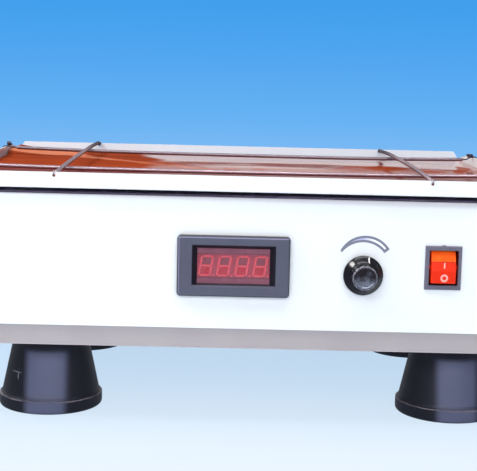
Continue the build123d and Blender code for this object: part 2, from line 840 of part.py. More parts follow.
# Tray: floor with four bent-up lips; the front and rear lips end in slants and the side lips
# fall away towards the corners
with BuildPart() as tray:
    with BuildSketch(Plane.XY.offset(tray_bottom)):
        with Locations((tray_x, 0)):
            Rectangle(tray_width, tray_depth)
    extrude(amount=tray_sheet)
    for side in (-1, 1):
        lip_plane = Plane(
            origin=(tray_x, side * tray_depth / 2, tray_bottom), x_dir=(1, 0, 0), z_dir=(0, -1, 0)
        )
        with BuildSketch(lip_plane):
            with BuildLine():
                Polyline(
                    (-tray_width / 2, 0),
                    (tray_width / 2, 0),
                    (tray_width / 2, tray_wall - tray_end_drop),
                    (tray_width / 2 - tray_end_run, tray_wall),
                    (-tray_width / 2 + tray_end_run, tray_wall),
                    (-tray_width / 2, tray_wall - tray_end_drop),
                    close=True,
                )
            make_face()
            with Locations((-tray_width / 2 + spring_inset, tray_wall - hook_hole_drop)):
                Circle(hook_hole_radius, mode=Mode.SUBTRACT)
            with Locations((tray_width / 2 - spring_inset, tray_wall - hook_hole_drop)):
                Circle(hook_hole_radius, mode=Mode.SUBTRACT)
        extrude(amount=side * tray_sheet)
        side_plane = Plane(
            origin=(tray_x + side * tray_width / 2, 0, tray_bottom), x_dir=(0, 1, 0), z_dir=(1, 0, 0)
        )
        with BuildSketch(side_plane):
            with BuildLine():
                Polyline(
                    (-tray_depth / 2, 0),
                    (tray_depth / 2, 0),
                    (tray_depth / 2, side_wall_corner),
                    (side_wall_flat / 2, tray_wall),
                    (-side_wall_flat / 2, tray_wall),
                    (-tray_depth / 2, side_wall_corner),
                    close=True,
                )
            make_face()
            with Locations((-tray_depth / 2 + spring_inset, tray_wall - hook_hole_drop)):
                Circle(hook_hole_radius, mode=Mode.SUBTRACT)
            with Locations((tray_depth / 2 - spring_inset, tray_wall - hook_hole_drop)):
                Circle(hook_hole_radius, mode=Mode.SUBTRACT)
        extrude(amount=-side * tray_sheet)
    fillet(tray.faces().sort_by(Axis.Z)[0].edges(), radius=tray_bend)
    with BuildSketch(Plane.XY.offset(tray_floor)):
        with Locations(*hub_points):
            with PolarLocations(hub_screw_circle, hub_screw_count, start_angle=90):
                Circle(hub_screw_radius + hole_clearance)
    extrude(amount=-tray_sheet, mode=Mode.SUBTRACT)
save(tray, "tray")

# Screws from the hubs up into the tray floor, heads below
with BuildPart() as hub_screws:
    with BuildSketch(Plane.XY.offset(tray_bottom - hub_flange_thickness)):
        with Locations(*hub_points):
            with PolarLocations(hub_screw_circle, hub_screw_count, start_angle=90):
                Circle(hub_screw_radius)
    extrude(amount=hub_flange_thickness + tray_sheet)
save(hub_screws, "hub_screws")

# Mat that lies in the tray
with BuildPart() as mat:
    with BuildSketch(Plane.XY.offset(tray_floor)):
        with Locations((tray_x, 0)):
            RectangleRounded(
                tray_width - 2 * tray_sheet - 2 * mat_edge_gap,
                tray_depth - 2 * tray_sheet - 2 * mat_edge_gap,
                mat_corner_radius,
            )
    extrude(amount=mat_thickness)
save(mat, "mat")


def build_spring(plane, lip_span, rise, near_height, middle_height, far_height):
    """Close-wound spring along a plane's X, with a wire hook over the lip at each end."""
    hole_height = tray_wall - hook_hole_drop
    rod_end = lip_span / 2 - tray_sheet - spring_end_gap
    outside = lip_span / 2 + hook_radius + hook_stand_off
    over_lip = tray_wall + rise
    with BuildPart() as spring:
        with BuildLine(plane) as rod_line:
            ThreePointArc((-rod_end, near_height), (0, middle_height), (rod_end, far_height))
        with BuildSketch(Plane(origin=rod_line.line @ 0, z_dir=rod_line.line % 0)):
            Circle(spring_radius)
        sweep(path=rod_line.line)
        for side, end_height in ((-1, near_height), (1, far_height)):
            with BuildLine(plane) as hook_line:
                FilletPolyline(
                    (side * (rod_end - 1), end_height),
                    (side * (rod_end + 2.2), end_height),
                    (side * (lip_span / 2 - tray_sheet - 2), over_lip),
                    (side * outside, over_lip),
                    (side * outside, hole_height),
                    (side * (lip_span / 2 - tray_sheet / 2), hole_height),
                    radius=hook_bend,
                )
            with BuildSketch(Plane(origin=hook_line.line @ 0, z_dir=hook_line.line % 0)):
                Circle(hook_radius)
            sweep(path=hook_line.line)
    return spring


spring_heights = {
    "spring_front": (front_spring_left, front_spring_middle, front_spring_right),
    "spring_rear": (rear_spring_left, rear_spring_middle, rear_spring_right),
    "spring_left": (left_spring_front, left_spring_middle, left_spring_rear),
    "spring_right": (right_spring_front, right_spring_middle, right_spring_rear),
}
for side, across, along in ((-1, "spring_front", "spring_left"), (1, "spring_rear", "spring_right")):
    across_plane = Plane(
        origin=(tray_x, side * (tray_depth / 2 - spring_inset), tray_bottom),
        x_dir=(1, 0, 0),
        z_dir=(0, -1, 0),
    )
    along_plane = Plane(
        origin=(tray_x + side * (tray_width / 2 - spring_inset), 0, tray_bottom),
        x_dir=(0, 1, 0),
        z_dir=(1, 0, 0),
    )
    save(build_spring(across_plane, tray_width, across_hook_rise, *spring_heights[across]), across)
    save(build_spring(along_plane, tray_depth, along_hook_rise, *spring_heights[along]), along)

# Control board on its pillars, with a transformer and a heat sink
with BuildPart() as control_board:
    with BuildSketch(Plane.XY.offset(board_bottom)):
        with Locations((board_x, board_y)):
            Rectangle(board_length, board_depth)
        with Locations(*board_hole_points):
            Circle(housing_screw_radius - 0.2, mode=Mode.SUBTRACT)
    extrude(amount=board_thickness)
save(control_board, "control_board")

with BuildPart() as board_pillars:
    with BuildSketch(Plane.XY.offset(pan_floor)):
        with Locations(*board_hole_points):
            Circle(board_standoff_radius)
    extrude(amount=board_lift)
save(board_pillars, "board_pillars")

transformer_x = board_x - board_length / 2 + transformer_length / 2 + 2 * board_hole_inset
transformer_y = board_y
with BuildPart() as transformer:
    with BuildSketch(Plane.XY.offset(board_top)):
        with Locations((transformer_x, transformer_y)):
            Rectangle(transformer_length, transformer_core)
    extrude(amount=transformer_height)
    with BuildSketch(Plane.XY.offset(board_top + 3)):
        with Locations((transformer_x, transformer_y)):
            RectangleRounded(transformer_length - 12, transformer_depth, 3)
    extrude(amount=transformer_height - 6)
save(transformer, "transformer")

heat_sink_x = board_x + board_length / 2 - heat_sink_length / 2 - 2
heat_sink_y = board_y + board_depth / 2 - heat_sink_depth / 2 - 2 * board_hole_inset
with BuildPart() as heat_sink:
    with BuildSketch(Plane.XY.offset(board_top)):
        with Locations((heat_sink_x, heat_sink_y - heat_sink_depth / 2 + heat_sink_base / 2)):
            Rectangle(heat_sink_length, heat_sink_base)
        fin_pitch = (heat_sink_length - heat_sink_fin) / (heat_sink_fins - 1)
        with Locations((heat_sink_x, heat_sink_y)):
            with GridLocations(fin_pitch, fin_pitch, heat_sink_fins, 1):
                Rectangle(heat_sink_fin, heat_sink_depth)
    extrude(amount=heat_sink_height)
save(heat_sink, "heat_sink")

# Speed meter: bevelled bezel, sloping recess, window, display and case
with BuildPart() as meter_case:
    with BuildSketch(panel):
        with Locations((meter_x, meter_z)):
            RectangleRounded(meter_width, meter_height, meter_corner)
    extrude(amount=meter_bezel)
    chamfer(meter_case.faces().sort_by(Axis.Y)[0].edges(), length=meter_chamfer)
    with BuildSketch(panel):
        with Locations((meter_x, meter_z)):
            Rectangle(meter_case_width, meter_case_height)
    extrude(amount=-meter_case_depth)
    with BuildSketch(panel.offset(meter_bezel)):
        with Locations((meter_x, meter_z)):
            Rectangle(meter_recess_width, meter_recess_height)
    with BuildSketch(panel.offset(meter_bezel - meter_recess_depth)):
        with Locations((meter_x, meter_z)):
            Rectangle(window_width, window_height)
    loft(mode=Mode.SUBTRACT)
    with BuildSketch(panel.offset(meter_bezel - meter_recess_depth)):
        with Locations((meter_x, meter_z)):
            Rectangle(window_width, window_height)
    extrude(amount=-window_thickness, mode=Mode.SUBTRACT)
    with BuildSketch(panel.offset(meter_bezel - meter_recess_depth - window_thickness)):
        with Locations((meter_x, meter_z)):
            Rectangle(window_width - 2 * running_gap, display_height)
    extrude(amount=-display_depth, mode=Mode.SUBTRACT)
save(meter_case, "meter_case")

with BuildPart() as meter_window:
    with BuildSketch(panel.offset(meter_bezel - meter_recess_depth)):
        with Locations((meter_x, meter_z)):
            Rectangle(window_width - 2 * running_gap, window_height - 2 * running_gap)
    extrude(amount=-window_thickness)
save(meter_window, "meter_window")

with BuildPart() as meter_display:
    with BuildSketch(panel.offset(meter_bezel - meter_recess_depth - window_thickness - running_gap)):
        with Locations((meter_x, meter_z)):
            Rectangle(window_width - 4 * running_gap, display_height - 2 * running_gap)
    extrude(amount=running_gap - display_depth)
save(meter_display, "meter_display")

# Spring clips that hold the meter from behind the panel
with BuildPart() as meter_clips:
    for side in (-1, 1):
        clip_plane = Plane(
            origin=(meter_x + side * meter_case_width / 2, 0, meter_z - clip_width / 2),
            x_dir=(side, 0, 0),
            z_dir=(0, 0, 1),
        )
        with BuildSketch(clip_plane):
            with BuildLine():
                far = side * (cover_depth / 2 - sheet - clip_length)
                near = side * (cover_depth / 2 - sheet)
                Polyline(
                    (0, -far),
                    (clip_thickness, -far),
                    (clip_spread + clip_thickness, -near),
                    (clip_spread, -near),
                    close=True,
                )
            make_face()
        extrude(amount=clip_width)
save(meter_clips, "meter_clips")

# Speed potentiometer: body, threaded bush through the panel, lug strip and nut
knob_axis = Axis((knob_x, 0, knob_z), (0, 1, 0))
knob_base = panel.offset(knob_gap)
with BuildPart() as potentiometer:
    with BuildSketch(panel.offset(-sheet)):
        with Locations((knob_x, knob_z)):
            Circle(pot_body_radius)
        with Locations((knob_x, knob_z - pot_body_radius)):
            Rectangle(pot_lug_width, 2 * pot_lug_length)
    extrude(amount=-pot_lug_thickness)
    with BuildSketch(panel.offset(-sheet)):
        with Locations((knob_x, knob_z)):
            Circle(pot_body_radius)
    extrude(amount=-pot_body_depth)
    with BuildSketch(panel.offset(-sheet)):
        with Locations((knob_x, knob_z)):
            Circle(pot_bush_radius)
    extrude(amount=pot_bush_length)
    with BuildSketch(panel.offset(pot_bush_length - sheet)):
        with Locations((knob_x, knob_z)):
            Circle(pot_shaft_radius + running_gap)
    extrude(amount=-pot_bush_length - pot_shaft_inside, mode=Mode.SUBTRACT)
save(potentiometer, "potentiometer")

with BuildPart() as potentiometer_nut:
    with BuildSketch(panel):
        with Locations((knob_x, knob_z)):
            RegularPolygon(radius=pot_nut_radius, side_count=6)
            Circle(pot_bush_radius + running_gap, mode=Mode.SUBTRACT)
    extrude(amount=pot_nut_height)
save(potentiometer_nut, "potentiometer_nut")

with BuildPart() as potentiometer_shaft:
    shaft_length = knob_gap + knob_recess_depth + pot_shaft_engage + sheet + pot_shaft_inside
    with BuildSketch(panel.offset(-sheet - pot_shaft_inside)):
        with Locations((knob_x, knob_z)):
            Circle(pot_shaft_radius)
    extrude(amount=shaft_length)
save(potentiometer_shaft, "potentiometer_shaft")

# Knob: skirt, bevel and a fluted grip with a recess for its cap
with BuildPart() as knob:
    with BuildSketch(Plane(origin=(knob_x, 0, knob_z), x_dir=(1, 0, 0), z_dir=(0, 0, 1))):
        with BuildLine():
            base_y = -cover_depth / 2 - knob_gap
            Polyline(
                (knob_recess_radius, base_y),
                (knob_radius, base_y),
                (knob_radius, base_y - knob_skirt),
                (knob_shoulder_radius, base_y - knob_cone_top),
                (knob_grip_radius, base_y - knob_cone_top),
                (knob_grip_top_radius, base_y - knob_height),
                (knob_cap_radius, base_y - knob_height),
                (knob_cap_radius, base_y - knob_height + knob_cap_thickness),
                (0, base_y - knob_height + knob_cap_thickness),
                (0, base_y - knob_recess_depth - pot_shaft_engage),
                (pot_shaft_radius + running_gap, base_y - knob_recess_depth - pot_shaft_engage),
                (pot_shaft_radius + running_gap, base_y - knob_recess_depth),
                (knob_recess_radius, base_y - knob_recess_depth),
                close=True,
            )
        make_face()
    revolve(axis=knob_axis)
    with BuildSketch(knob_base.offset(knob_cone_top)):
        with Locations((knob_x, knob_z)):
            with PolarLocations(knob_grip_radius + knob_flute_radius / 2, knob_flutes):
                Circle(knob_flute_radius)
    extrude(amount=knob_height - knob_cone_top, mode=Mode.SUBTRACT)
save(knob, "knob")

with BuildPart() as knob_cap:
    with BuildSketch(knob_base.offset(knob_height - knob_cap_thickness)):
        with Locations((knob_x, knob_z)):
            Circle(knob_cap_radius - running_gap)
    extrude(amount=knob_cap_thickness + knob_cap_proud)
    chamfer(knob_cap.edges().group_by(Axis.Y)[0], length=knob_cap_proud)
save(knob_cap, "knob_cap")

# Rocker switch: bezel and open case, with bearing holes for the rocker's trunnions
with BuildPart() as switch_case:
    with BuildSketch(panel):
        with Locations((switch_x, switch_z)):
            Rectangle(switch_width, switch_height)
    extrude(amount=switch_bezel)
    chamfer(switch_case.faces().sort_by(Axis.Y)[0].edges(), length=switch_chamfer)
    with BuildSketch(panel):
        with Locations((switch_x, switch_z)):
            Rectangle(switch_case_width, switch_case_height)
    extrude(amount=-switch_body_depth)
    with BuildSketch(panel.offset(switch_bezel)):
        with Locations((switch_x, switch_z)):
            Rectangle(rocker_width + 2 * rocker_side_gap, 2 * switch_cavity_half)
    extrude(amount=-switch_bezel - switch_cavity_depth, mode=Mode.SUBTRACT)
    with BuildSketch(Plane.YZ.offset(switch_x)):
        with Locations((-cover_depth / 2 + rocker_pivot_depth, switch_z)):
            Circle(rocker_trunnion_radius + running_gap)
    extrude(
        amount=rocker_width / 2 + rocker_side_gap + rocker_trunnion_length, both=True, mode=Mode.SUBTRACT
    )
save(switch_case, "switch_case")

with BuildPart() as switch_tabs:
    with BuildSketch(panel.offset(-switch_body_depth)):
        with Locations((switch_x, switch_z)):
            with GridLocations(switch_tab_spacing, switch_tab_spacing, 2, 2):
                Rectangle(switch_tab_thickness, switch_tab_width)
    extrude(amount=-switch_tab_length)
save(switch_tabs, "switch_tabs")

# Rocker, pressed in at the top as when the shaker runs
tilt = math.radians(rocker_tilt)
rocker_pivot = (switch_x, -cover_depth / 2 + rocker_pivot_depth, switch_z)
rocker_plane = Plane(
    origin=rocker_pivot, x_dir=(0, -math.cos(tilt), math.sin(tilt)), z_dir=(-1, 0, 0)
)
with BuildPart() as rocker:
    with BuildSketch(rocker_plane):
        with BuildLine():
            Polyline(
                (rocker_end_height, rocker_end),
                (rocker_crest_height, rocker_crest),
                (rocker_crest_height, -rocker_crest),
                (rocker_end_height, -rocker_end),
                (-rocker_back, -rocker_back_half),
                (-rocker_back, rocker_back_half),
                close=True,
            )
        make_face()
    extrude(amount=rocker_width / 2, both=True)
    with BuildSketch(rocker_plane):
        Circle(rocker_trunnion_radius)
    extrude(amount=rocker_width / 2 + rocker_side_gap + rocker_trunnion_length - running_gap, both=True)
save(rocker, "rocker")

# Mains inlet: flange, socket cavity and three blades
with BuildPart() as mains_inlet:
    with BuildSketch(rear):
        with Locations((-inlet_x, inlet_z)):
            RectangleRounded(inlet_flange_width, inlet_flange_height, inlet_corner)
    extrude(amount=inlet_flange)
    with BuildSketch(rear):
        with Locations((-inlet_x, inlet_z)):
            Rectangle(inlet_case_width, inlet_case_height)
    extrude(amount=-inlet_cavity_depth - inlet_wall + inlet_flange)
    with BuildSketch(rear.offset(inlet_flange)):
        with Locations((-inlet_x, inlet_z)):
            RectangleRounded(inlet_cavity_width, inlet_cavity_height, inlet_cavity_corner)
    extrude(amount=-inlet_cavity_depth, mode=Mode.SUBTRACT)
save(mains_inlet, "mains_inlet")

with BuildPart() as inlet_blades:
    with BuildSketch(rear.offset(inlet_flange - inlet_cavity_depth)):
        with Locations((-inlet_x, inlet_z - inlet_pin_drop)):
            with GridLocations(2 * inlet_pin_spacing, 2 * inlet_pin_spacing, 2, 1):
                Rectangle(inlet_pin_width, inlet_pin_height)
        with Locations((-inlet_x, inlet_z - inlet_pin_drop + inlet_earth_rise)):
            Rectangle(inlet_pin_width, inlet_pin_height)
    extrude(amount=inlet_pin_length)
save(inlet_blades, "inlet_blades")

# Fuse holder: flanged tube through the rear wall, nut inside, screw cap outside
with BuildPart() as fuse_holder:
    with BuildSketch(rear):
        with Locations((-fuse_x, fuse_z)):
            Circle(fuse_flange_radius)
    extrude(amount=fuse_flange)
    with BuildSketch(rear):
        with Locations((-fuse_x, fuse_z)):
            Circle(fuse_body_radius)
    extrude(amount=-fuse_body_depth)
    with BuildSketch(rear.offset(fuse_flange)):
        with Locations((-fuse_x, fuse_z)):
            Circle(fuse_bore)
    extrude(amount=-fuse_plug_length - fuse_flange, mode=Mode.SUBTRACT)
save(fuse_holder, "fuse_holder")

with BuildPart() as fuse_nut:
    with BuildSketch(rear.offset(-sheet)):
        with Locations((-fuse_x, fuse_z)):
            RegularPolygon(radius=fuse_nut_radius, side_count=6)
            Circle(fuse_body_radius + running_gap, mode=Mode.SUBTRACT)
    extrude(amount=-fuse_nut_height)
save(fuse_nut, "fuse_nut")

with BuildPart() as fuse_cap:
    with BuildSketch(rear.offset(fuse_flange)):
        with Locations((-fuse_x, fuse_z)):
            Circle(fuse_cap_radius)
    extrude(amount=fuse_cap_height)
    fillet(fuse_cap.edges().group_by(Axis.Y)[-1], radius=fuse_cap_round)
    with BuildSketch(rear.offset(fuse_flange)):
        with Locations((-fuse_x, fuse_z)):
            Circle(fuse_plug_radius)
    extrude(amount=-fuse_plug_length)
    with BuildSketch(rear.offset(fuse_flange + fuse_cap_height)):
        with Locations((-fuse_x, fuse_z)):
            Rectangle(fuse_cap_radius * 1.4, fuse_cap_round)
    extrude(amount=-fuse_cap_round, mode=Mode.SUBTRACT)
save(fuse_cap, "fuse_cap")
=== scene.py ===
"""Dresses a bench-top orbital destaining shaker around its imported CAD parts."""

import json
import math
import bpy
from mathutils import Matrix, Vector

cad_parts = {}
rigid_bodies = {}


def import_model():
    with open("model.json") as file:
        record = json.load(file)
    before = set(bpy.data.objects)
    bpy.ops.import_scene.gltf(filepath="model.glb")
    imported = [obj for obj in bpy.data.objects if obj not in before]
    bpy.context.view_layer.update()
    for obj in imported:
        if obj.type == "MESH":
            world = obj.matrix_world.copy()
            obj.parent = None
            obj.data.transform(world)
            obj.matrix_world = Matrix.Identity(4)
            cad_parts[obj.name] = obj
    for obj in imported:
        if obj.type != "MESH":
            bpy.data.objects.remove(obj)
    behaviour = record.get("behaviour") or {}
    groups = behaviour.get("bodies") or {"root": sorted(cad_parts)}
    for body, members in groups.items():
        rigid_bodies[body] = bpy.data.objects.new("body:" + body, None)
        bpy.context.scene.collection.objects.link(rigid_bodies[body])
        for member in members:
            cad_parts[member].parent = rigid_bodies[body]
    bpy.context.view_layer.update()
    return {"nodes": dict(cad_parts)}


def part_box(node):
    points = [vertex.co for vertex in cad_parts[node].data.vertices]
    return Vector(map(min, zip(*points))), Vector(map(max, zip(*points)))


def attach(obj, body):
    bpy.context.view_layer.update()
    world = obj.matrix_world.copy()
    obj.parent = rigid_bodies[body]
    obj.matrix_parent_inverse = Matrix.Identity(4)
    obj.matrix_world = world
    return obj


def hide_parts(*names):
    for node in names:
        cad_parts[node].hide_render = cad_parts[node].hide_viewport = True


bl_info = {
    "name": "Destaining shaker",
    "version": (1, 0, 0),
    "blender": (4, 5, 0),
    "location": "View3D > Sidebar > Shaker",
    "description": "Adds the mat, springs, display, knob, rocker, prints and finishes of a shaker",
    "category": "Object",
}

from contextlib import contextmanager

import bmesh
import bpy
from bpy.props import FloatProperty, FloatVectorProperty, IntProperty, PointerProperty
from mathutils import Matrix, Vector, noise

for stray in list(bpy.data.objects):
    bpy.data.objects.remove(stray, do_unlink=True)
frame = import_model()
nodes = frame["nodes"]

MM = 0.001
FULL_TURN = 2 * math.pi
TRAY_X = -9.0
PANEL_Y = -150.0
PIVOT_Y, PIVOT_Z = -148.0, 119.0
ROCKER_TILT = math.radians(12)
DIGIT_SHIFT = 0.3
DIGIT_DROP = 0.2
FINE_RELIEF = (0.00002, 0.2, 1500.0)
MOULDED_RELIEF = (0.00003, 0.3, 2600.0)
finishes = {}

# Finish, light and dark colour, lowest and highest roughness, scale, constants, relief.
PLAIN_FINISHES = (
    ("case_plastic", (38, 38, 44), (30, 30, 36), (0.42, 0.55), 70.0, {}, (0.00004, 0.35, 2200.0)),
    ("knob_plastic", (10, 9, 16), (18, 16, 26), (0.14, 0.24), 220.0,
     {"Specular IOR Level": 0.35, "Coat Weight": 0.3, "Coat Roughness": 0.08},
     (0.00002, 0.2, 1100.0)),
    ("belt_rubber", (26, 26, 28), (36, 36, 38), (0.6, 0.8), 120.0, {}, (0.0001, 0.5, 1800.0)),
    ("motor_paint", (46, 48, 54), (38, 40, 46), (0.3, 0.45), 60.0, {}, FINE_RELIEF),
    ("cast_iron", (70, 71, 76), (52, 53, 58), (0.5, 0.75), 120.0, {"Metallic": 0.6},
     (0.00015, 0.6, 900.0)),
    ("board", (24, 84, 48), (18, 66, 38), (0.25, 0.4), 180.0,
     {"Coat Weight": 0.4, "Coat Roughness": 0.2}, FINE_RELIEF),
    ("winding", (178, 122, 40), (150, 96, 30), (0.45, 0.6), 400.0, {}, FINE_RELIEF),
    ("white_mark", (250, 246, 244), (238, 232, 232), (0.35, 0.45), 300.0, {}, FINE_RELIEF),
    # Partly a painted highlight: the grey band round the top edge of the knob's grip, given as bare
    # metal.
    ("rim_metal", (150, 150, 162), (112, 112, 126), (0.2, 0.35), 500.0, {"Metallic": 0.5},
     FINE_RELIEF),
    ("rocker_print", (255, 186, 176), (255, 164, 150), (0.3, 0.4), 300.0, {}, FINE_RELIEF),
)

# Metal, light and dark colour, lowest and highest roughness, stretch of its lines, depth.
DRAWN_METALS = (
    ("zinc", (196, 196, 198), (166, 168, 172), (0.26, 0.42), (60.0, 900.0, 900.0), 0.25),
    ("aluminium", (206, 207, 210), (182, 184, 188), (0.22, 0.36), (300.0, 300.0, 2200.0), 0.25),
    ("bearing_steel", (190, 190, 195), (160, 160, 166), (0.12, 0.25), (400.0, 400.0, 2600.0),
     0.15),
    ("brass", (214, 176, 104), (188, 148, 82), (0.22, 0.36), (900.0, 60.0, 900.0), 0.25),
)

DRESSED = {
    "enamel": "tray",
    "cover_enamel": "cover",
    "base_enamel": "base_pan",
    "rubber": "foot_front_left foot_front_right foot_rear_left foot_rear_right",
    "zinc": "cover_screws foot_washers foot_bolts foot_nuts bearing_plate plate_screws "
            "housing_screws motor_plate motor_standoffs hub_screws potentiometer_nut meter_clips "
            "board_pillars",
    "aluminium": "main_bearing_housing idler_housings tray_hubs drive_pulley motor_pulley "
                 "heat_sink",
    "bearing_steel": "main_bearings idler_bearings tray_bearings drive_shaft motor_shaft "
                     "potentiometer_shaft idler_crank_front_left idler_crank_front_right "
                     "idler_crank_rear_left idler_crank_rear_right",
    "cast_iron": "counterweight",
    "winding": "transformer",
    "motor_paint": "motor",
    "belt_rubber": "drive_belt",
    "board": "control_board",
    "meter_plastic": "meter_case",
    "display_face": "meter_display",
    "window": "meter_window",
    "case_plastic": "potentiometer mains_inlet fuse_holder fuse_nut fuse_cap",
    "panel_plastic": "switch_case",
    "brass": "switch_tabs inlet_blades",
    "knob_plastic": "knob",
    "cap_metal": "knob_cap",
    "rocker_red": "rocker",
    "mat": "mat",
    "spring_steel": "spring_front spring_rear spring_left spring_right",
}


def srgb(red, green, blue):
    """Turn 0-255 screen values into the linear colour that a shader takes."""
    shares = [channel / 255 for channel in (red, green, blue)]
    return (*(s / 12.92 if s <= 0.04045 else ((s + 0.055) / 1.055) ** 2.4 for s in shares), 1.0)


def length(name, description, millimetres):
    """A length property, given in millimetres."""
    return FloatProperty(
        name=name, description=description, default=millimetres * MM, unit="LENGTH"
    )


def colour(name, description, *screen):
    """A colour property, given in 0-255 screen values."""
    return FloatVectorProperty(
        name=name, description=description, size=4, subtype="COLOR", default=srgb(*screen)
    )


class ShakerSizes(bpy.types.PropertyGroup):
    """Sizes of the pieces that are added to the CAD parts."""

    wire_radius: length("Spring wire radius", "Radius of the wound wire", 0.27)
    coil_radius: length("Spring radius", "Outer radius of the long springs", 1.6)
    hook_radius: length("Hook wire radius", "Radius of the end hooks' wire", 0.5)
    mat_wave: length("Mat wave", "Height of the mat's waves", 0.35)
    mat_curl: length("Mat curl", "Rise of the mat's rear left corner", 4.4)
    digit_height: length("Digit height", "Height of a display digit", 13.4)
    digit_width: length("Digit width", "Width of a display digit", 7.8)
    digit_pitch: length("Digit pitch", "Distance from one digit to the next", 12.7)
    digit_stroke: length("Digit stroke", "Width of a lit segment", 1.3)
    digit_slant: FloatProperty(
        name="Digit slant", description="Lean of the digits", default=math.radians(9),
        subtype="ANGLE",
    )
    digits: IntProperty(name="Digits", description="Number of display digits", default=4)
    flutes: IntProperty(name="Knob flutes", description="Flutes round the grip", default=12)
    flute_depth: length("Flute depth", "Depth of a flute", 0.35)
    print_stroke: length("Print stroke", "Line width of the printed wedge", 1.75)


class ShakerColours(bpy.types.PropertyGroup):
    """Colours of the main finishes."""

    enamel: colour("Enamel", "Cover and tray", 246, 248, 250)
    base: colour("Base", "Base pan", 180, 172, 173)
    rubber: colour("Rubber", "Feet", 14, 14, 20)
    mat: colour("Mat", "Tray mat", 150, 56, 28)
    meter: colour("Meter", "Meter bezel", 88, 90, 108)
    lit: colour("Digits", "Lit segments", 224, 90, 98)
    rocker: colour("Rocker", "Rocker body", 236, 48, 14)
    print_ink: colour("Print", "Printed wedge", 128, 132, 150)


class Term:
    """A node's output that builds Math nodes when it is used in a formula."""

    def __init__(self, tree, socket):
        self.tree = tree
        self.socket = socket

    def maths(self, operation, *values):
        node = self.tree.nodes.new("ShaderNodeMath")
        node.operation = operation
        for socket, value in zip(node.inputs, values):
            wire(self.tree, socket, value)
        return Term(self.tree, node.outputs[0])

    def __add__(self, other):
        return self.maths("ADD", self, other)

    def __sub__(self, other):
        return self.maths("SUBTRACT", self, other)

    def __rsub__(self, other):
        return self.maths("SUBTRACT", other, self)

    def __mul__(self, other):
        return self.maths("MULTIPLY", self, other)

    def __truediv__(self, other):
        return self.maths("DIVIDE", self, other)

    def __pow__(self, other):
        return self.maths("POWER", self, other)

    def __abs__(self):
        return self.maths("ABSOLUTE", self)

    def larger(self, other):
        return self.maths("MAXIMUM", self, other)

    def smaller(self, other):
        return self.maths("MINIMUM", self, other)

    def beside(self, name):
        """Another output of the same node."""
        return Term(self.tree, self.socket.node.outputs[name])

    def ramp(self, low, high, first=0.0, last=1.0, kind="SMOOTHSTEP"):
        """Soft ramp from one value to another between two limits."""
        return add(
            self.tree, "ShaderNodeMapRange",
            {"Value": self, "From Min": low, "From Max": high, "To Min": first, "To Max": last},
            interpolation_type=kind,
        )

    def within(self, low, high, soft):
        """1 between two limits, with soft ends."""
        return self.ramp(low - soft, low + soft) * self.ramp(high + soft, high - soft)


def wire(tree, socket, value):
    """Link a term to a socket, or set the socket's constant."""
    if isinstance(value, Term):
        tree.links.new(value.socket, socket)
    else:
        socket.default_value = value


def add(tree, kind, inputs=None, output=0, **settings):
    """Add a node with its settings and inputs, and give one of its outputs."""
    node = tree.nodes.new(kind)
    for key, value in settings.items():
        setattr(node, key, value)
    for key, value in (inputs or {}).items():
        wire(tree, node.inputs[key], value)
    return Term(tree, node.outputs[output])


def clouds(tree, place, scale, detail=2.0, roughness=0.5):
    """A noise texture's value at a place."""
    return add(tree, "ShaderNodeTexNoise", {
        "Vector": place, "Scale": scale, "Detail": detail, "Roughness": roughness})


def oval(across, along, middle, reach):
    """Soft oval mask round a point of a plane, in that plane's own units."""
    return (((across - middle[0]) / reach[0]) ** 2.0
            + ((along - middle[1]) / reach[1]) ** 2.0).ramp(1.3, 0.5)


def start_group(kind, name, result, sockets):
    """Start a node group: its tree, its inputs by name and the socket of its result."""
    tree = bpy.data.node_groups.new(name, kind)
    for label, socket_type in sockets.items():
        tree.interface.new_socket(
            name=label, in_out="INPUT", socket_type="NodeSocket" + socket_type
        )
    tree.interface.new_socket(name=result, in_out="OUTPUT", socket_type="NodeSocket" + result)
    start = tree.nodes.new("NodeGroupInput")
    given = {label: Term(tree, start.outputs[label]) for label in sockets}
    return tree, given, tree.nodes.new("NodeGroupOutput").inputs[0]


def build_groups():
    """Make the shader effects that several finishes share."""
    tree, given, result = start_group(
        "ShaderNodeTree", "Soft variation", "Float",
        {"Vector": "Vector", "Scale": "Float", "Low": "Float", "High": "Float"},
    )
    cloud = clouds(tree, given["Vector"], given["Scale"], 5.0, 0.6)
    wire(tree, result, cloud.ramp(0.3, 0.7, given["Low"], given["High"], "LINEAR"))

    tree, given, result = start_group(
        "ShaderNodeTree", "Orange peel", "Float", {"Vector": "Vector", "Scale": "Float"}
    )
    dimples = clouds(tree, given["Vector"], given["Scale"])
    swell = clouds(tree, given["Vector"], 45.0)
    wire(tree, result, swell * 0.6 + dimples)

    tree, given, result = start_group(
        "ShaderNodeTree", "Drawn lines", "Float", {"Vector": "Vector", "Stretch": "Vector"}
    )
    stretched = add(
        tree, "ShaderNodeVectorMath", {0: given["Vector"], 1: given["Stretch"]},
        operation="MULTIPLY",
    )
    wire(tree, result, clouds(tree, stretched, 1.0, 4.0, 0.7))

    tree, given, result = start_group(
        "ShaderNodeTree", "Specks", "Float",
        {"Vector": "Vector", "Scale": "Float", "Size": "Float"},
    )
    cells = add(tree, "ShaderNodeTexVoronoi", {
        "Vector": given["Vector"], "Scale": given["Scale"]})
    near = cells.maths("LESS_THAN", cells, given["Size"])
    wire(tree, result, near * cells.maths("GREATER_THAN", cells.beside("Color"), 0.72))


